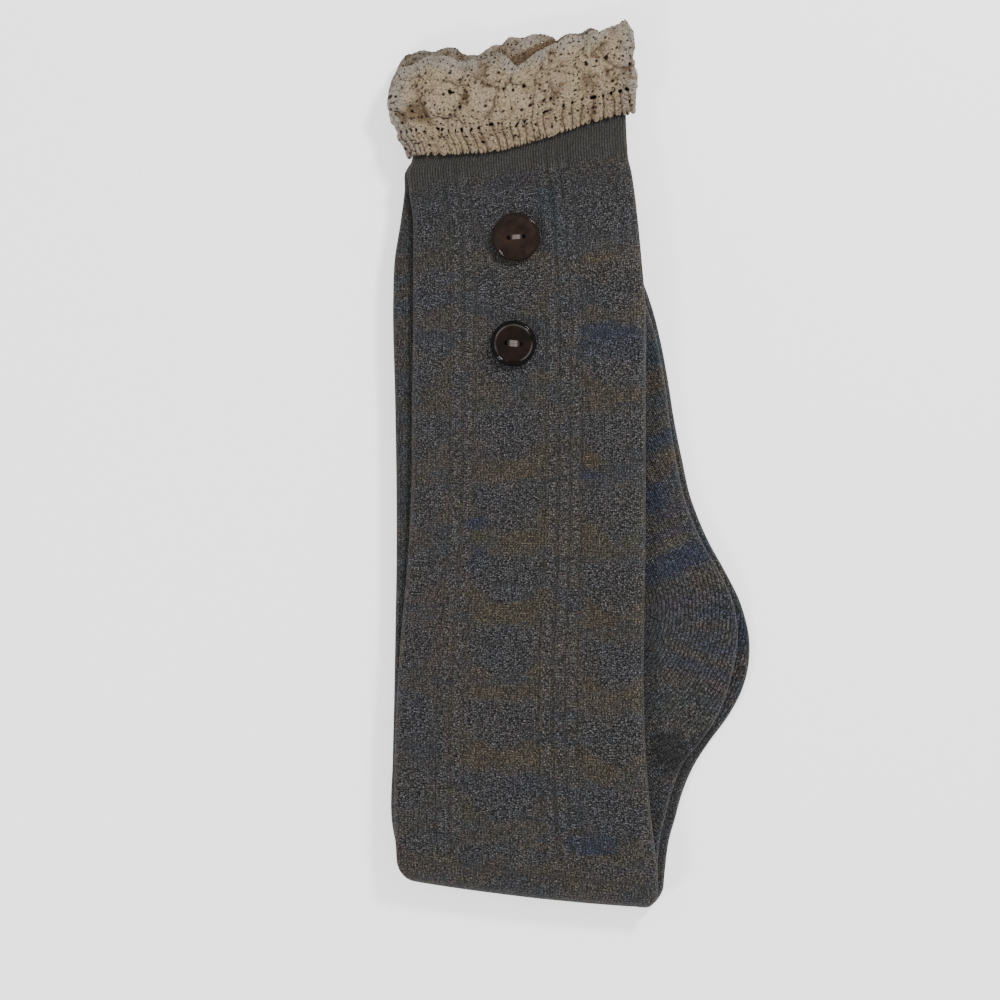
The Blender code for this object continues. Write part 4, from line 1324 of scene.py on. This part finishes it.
def sewing_threads(button, centre, floor):
    """Strands that bridge the two holes side by side and dive into them."""
    curve = bpy.data.curves.new(button.name + "_thread", "CURVE")
    curve.dimensions = "3D"
    curve.bevel_depth = THREAD_RADIUS * button.spread * MM
    curve.bevel_resolution = 3
    curve.resolution_u = 8
    turn = turned(button.turn_deg)
    for offset, rise in ((-0.80, 0.15), (-0.28, 0.35), (0.28, 0.38), (0.80, 0.18)):
        offset *= button.spread
        spline = curve.splines.new("BEZIER")
        reach = 0.5 * HOLE_SPACING
        route = ((-reach + 0.45, offset * 0.7, -1.6), (-reach + 0.75, offset * 0.9, -0.6),
                 (-1.3, offset, 0.06), (0.0, offset, rise), (1.3, offset, 0.06),
                 (reach - 0.75, offset * 0.9, -0.6), (reach - 0.45, offset * 0.7, -1.6))
        spline.bezier_points.add(len(route) - 1)
        for point, (x, y, z) in zip(spline.bezier_points, route):
            beside = turn @ Vector((x * MM, y * MM, 0.0))
            point.co = beside + Vector((centre.x, centre.y, (floor + z) * MM))
            point.handle_left_type = point.handle_right_type = "AUTO"
    obj = add_object(button.name + "_thread", curve)
    choose(obj)
    bpy.ops.object.convert(target="MESH")
    # Painted shade for the strands' ends, away from the middle
    point_layer(obj.data, "soiled", smooth(1.35, 1.75, reach_from(centre, obj.data, 0.3)))
    return obj


class SocksKnitSettings(bpy.types.PropertyGroup):
    """How finely the knitted tubes are made and how light their yarn is."""

    leg_step: bpy.props.FloatProperty(
        name="Leg Step", description="Distance between rows on the front leg, in millimetres",
        default=1.0, min=0.5, max=4.0)
    tone: bpy.props.FloatProperty(
        name="Yarn Tone", description="Brightness of the yarn", default=0.64, min=0.2, max=3.0)


class SocksLaceSettings(bpy.types.PropertyGroup):
    """The lace's brightness."""

    tone: bpy.props.FloatProperty(
        name="Thread Tone", description="Brightness of the lace thread",
        default=0.575, min=0.2, max=2.0)


class SocksStageSettings(bpy.types.PropertyGroup):
    """Floor and lights."""

    floor_colour: bpy.props.FloatVectorProperty(
        name="Floor", description="Colour of the floor", subtype="COLOR", size=3,
        default=(0.93, 0.93, 0.93), min=0.0, max=1.0)
    light: bpy.props.FloatProperty(
        name="Light", description="Strength of the soft light", default=1.0, min=0.0)


class SOCKS_OT_knit(bpy.types.Operator):
    """Make both knitted tubes"""

    bl_idname = "socks.knit"
    bl_label = "Knitted Tubes"

    def execute(self, context):
        settings = context.scene.socks_knit
        front = knit_tube(FRONT, settings.leg_step, foot_step=2.2, front_count=121, back_count=26,
                          inner_every=6)
        dress(front, knit_material("front_knit", settings.tone), FRONT.node)
        back = knit_tube(BACK, 2.4, foot_step=1.3, front_count=40, back_count=92, inner_every=4)
        dress(back, knit_material("back_knit", settings.tone), BACK.node)
        return {"FINISHED"}


class SOCKS_OT_lace(bpy.types.Operator):
    """Make both gathered lace cuffs"""

    bl_idname = "socks.lace"
    bl_label = "Lace Cuffs"

    def execute(self, context):
        tone = context.scene.socks_lace.tone
        # The back lace gets a darker copy of the material: painted shade for the lace lying behind
        for lace, slot, share in zip(LACES, ("front_lace", "back_lace"), (1.0, 0.85)):
            piece = lace_ring(lace)
            dress(piece, lace_material(lace.name, tone * share), lace.node)
        return {"FINISHED"}


class SOCKS_OT_buttons(bpy.types.Operator):
    """Make the two sewn buttons and their threads"""

    bl_idname = "socks.buttons"
    bl_label = "Buttons"

    def execute(self, context):
        thread = thread_material()
        for button, look, slot in zip(BUTTONS, BUTTON_LOOKS, ("brown_button", "dark_button")):
            piece, centre, floor = turned_button(button)
            dress(piece, button_material(button.name, look), button.node)
            strands = sewing_threads(button, centre, floor)
            strands.data.materials.append(thread)
            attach(strands, BODY)
        return {"FINISHED"}


class SOCKS_OT_stage(bpy.types.Operator):
    """Make the floor, the lights and the camera"""

    bl_idname = "socks.stage"
    bl_label = "Stage"

    def execute(self, context):
        settings = context.scene.socks_stage
        bpy.ops.object.select_all(action="DESELECT")
        bpy.ops.mesh.primitive_plane_add(size=FLOOR_SIZE, location=(0, 0, -FLOOR_DROP))
        floor = context.object
        floor.name = "floor"
        material, n, shader = new_material("floor")
        n.fill(shader, {"Base Color": (*settings.floor_colour, 1.0), "Roughness": 0.9,
                        "Emission Color": (1.0, 1.0, 1.0, 1.0), "Emission Strength": 0.9})
        floor.data.materials.append(material)
        world = bpy.data.worlds.new("studio")
        context.scene.world = world
        world.use_nodes = True
        Nodes(world.node_tree).fill(world.node_tree.nodes["Background"],
                                    {0: (1.0, 0.995, 0.985, 1.0), 1: 0.85 * settings.light})
        for name, place, size, power in LIGHTS:
            bpy.ops.object.light_add(type="AREA", location=place)
            lamp = context.object
            lamp.name = name
            lamp.data.size = size
            lamp.data.energy = power * settings.light
            lamp.rotation_euler = (-Vector(place)).to_track_quat("-Z", "Y").to_euler()
        middle = (np.array((*VIEW_CENTRE, 0.0)) - SHIFT) * MM
        distance = VIEW_WIDTH * MM * LENS / SENSOR
        place = (middle[0], middle[1], distance + CAMERA_RISE)
        bpy.ops.object.camera_add(location=place, rotation=(0, 0, 0))
        camera = context.object
        camera.data.lens = LENS
        camera.data.sensor_width = SENSOR
        camera.data.clip_end = 20.0
        context.scene.camera = camera
        return {"FINISHED"}


class SOCKS_PT_panel(bpy.types.Panel):
    """Buttons for every piece"""

    bl_idname = "SOCKS_PT_panel"
    bl_label = "Boot Socks"
    bl_space_type = "VIEW_3D"
    bl_region_type = "UI"
    bl_category = "Socks"

    def draw(self, context):
        scene = context.scene
        for group in (scene.socks_knit, scene.socks_lace, scene.socks_stage):
            box = self.layout.box()
            for key in group.bl_rna.properties.keys():
                if key not in ("rna_type", "name"):
                    box.prop(group, key)
        for operator in OPERATORS:
            self.layout.operator(operator.bl_idname)


OPERATORS = (SOCKS_OT_knit, SOCKS_OT_lace, SOCKS_OT_buttons, SOCKS_OT_stage)
GROUPS = (SocksKnitSettings, SocksLaceSettings, SocksStageSettings)


def register():
    for kind in (*GROUPS, *OPERATORS, SOCKS_PT_panel):
        bpy.utils.register_class(kind)
    bpy.types.Scene.socks_knit = bpy.props.PointerProperty(type=SocksKnitSettings)
    bpy.types.Scene.socks_lace = bpy.props.PointerProperty(type=SocksLaceSettings)
    bpy.types.Scene.socks_stage = bpy.props.PointerProperty(type=SocksStageSettings)


def unregister():
    for kind in (SOCKS_PT_panel, *reversed(OPERATORS), *reversed(GROUPS)):
        bpy.utils.unregister_class(kind)
    del bpy.types.Scene.socks_knit, bpy.types.Scene.socks_lace, bpy.types.Scene.socks_stage


def main():
    register()
    bpy.ops.object.select_all(action="DESELECT")
    bpy.ops.socks.knit()
    bpy.ops.socks.lace()
    bpy.ops.socks.buttons()
    bpy.ops.socks.stage()


if __name__ == "__main__":
    main()
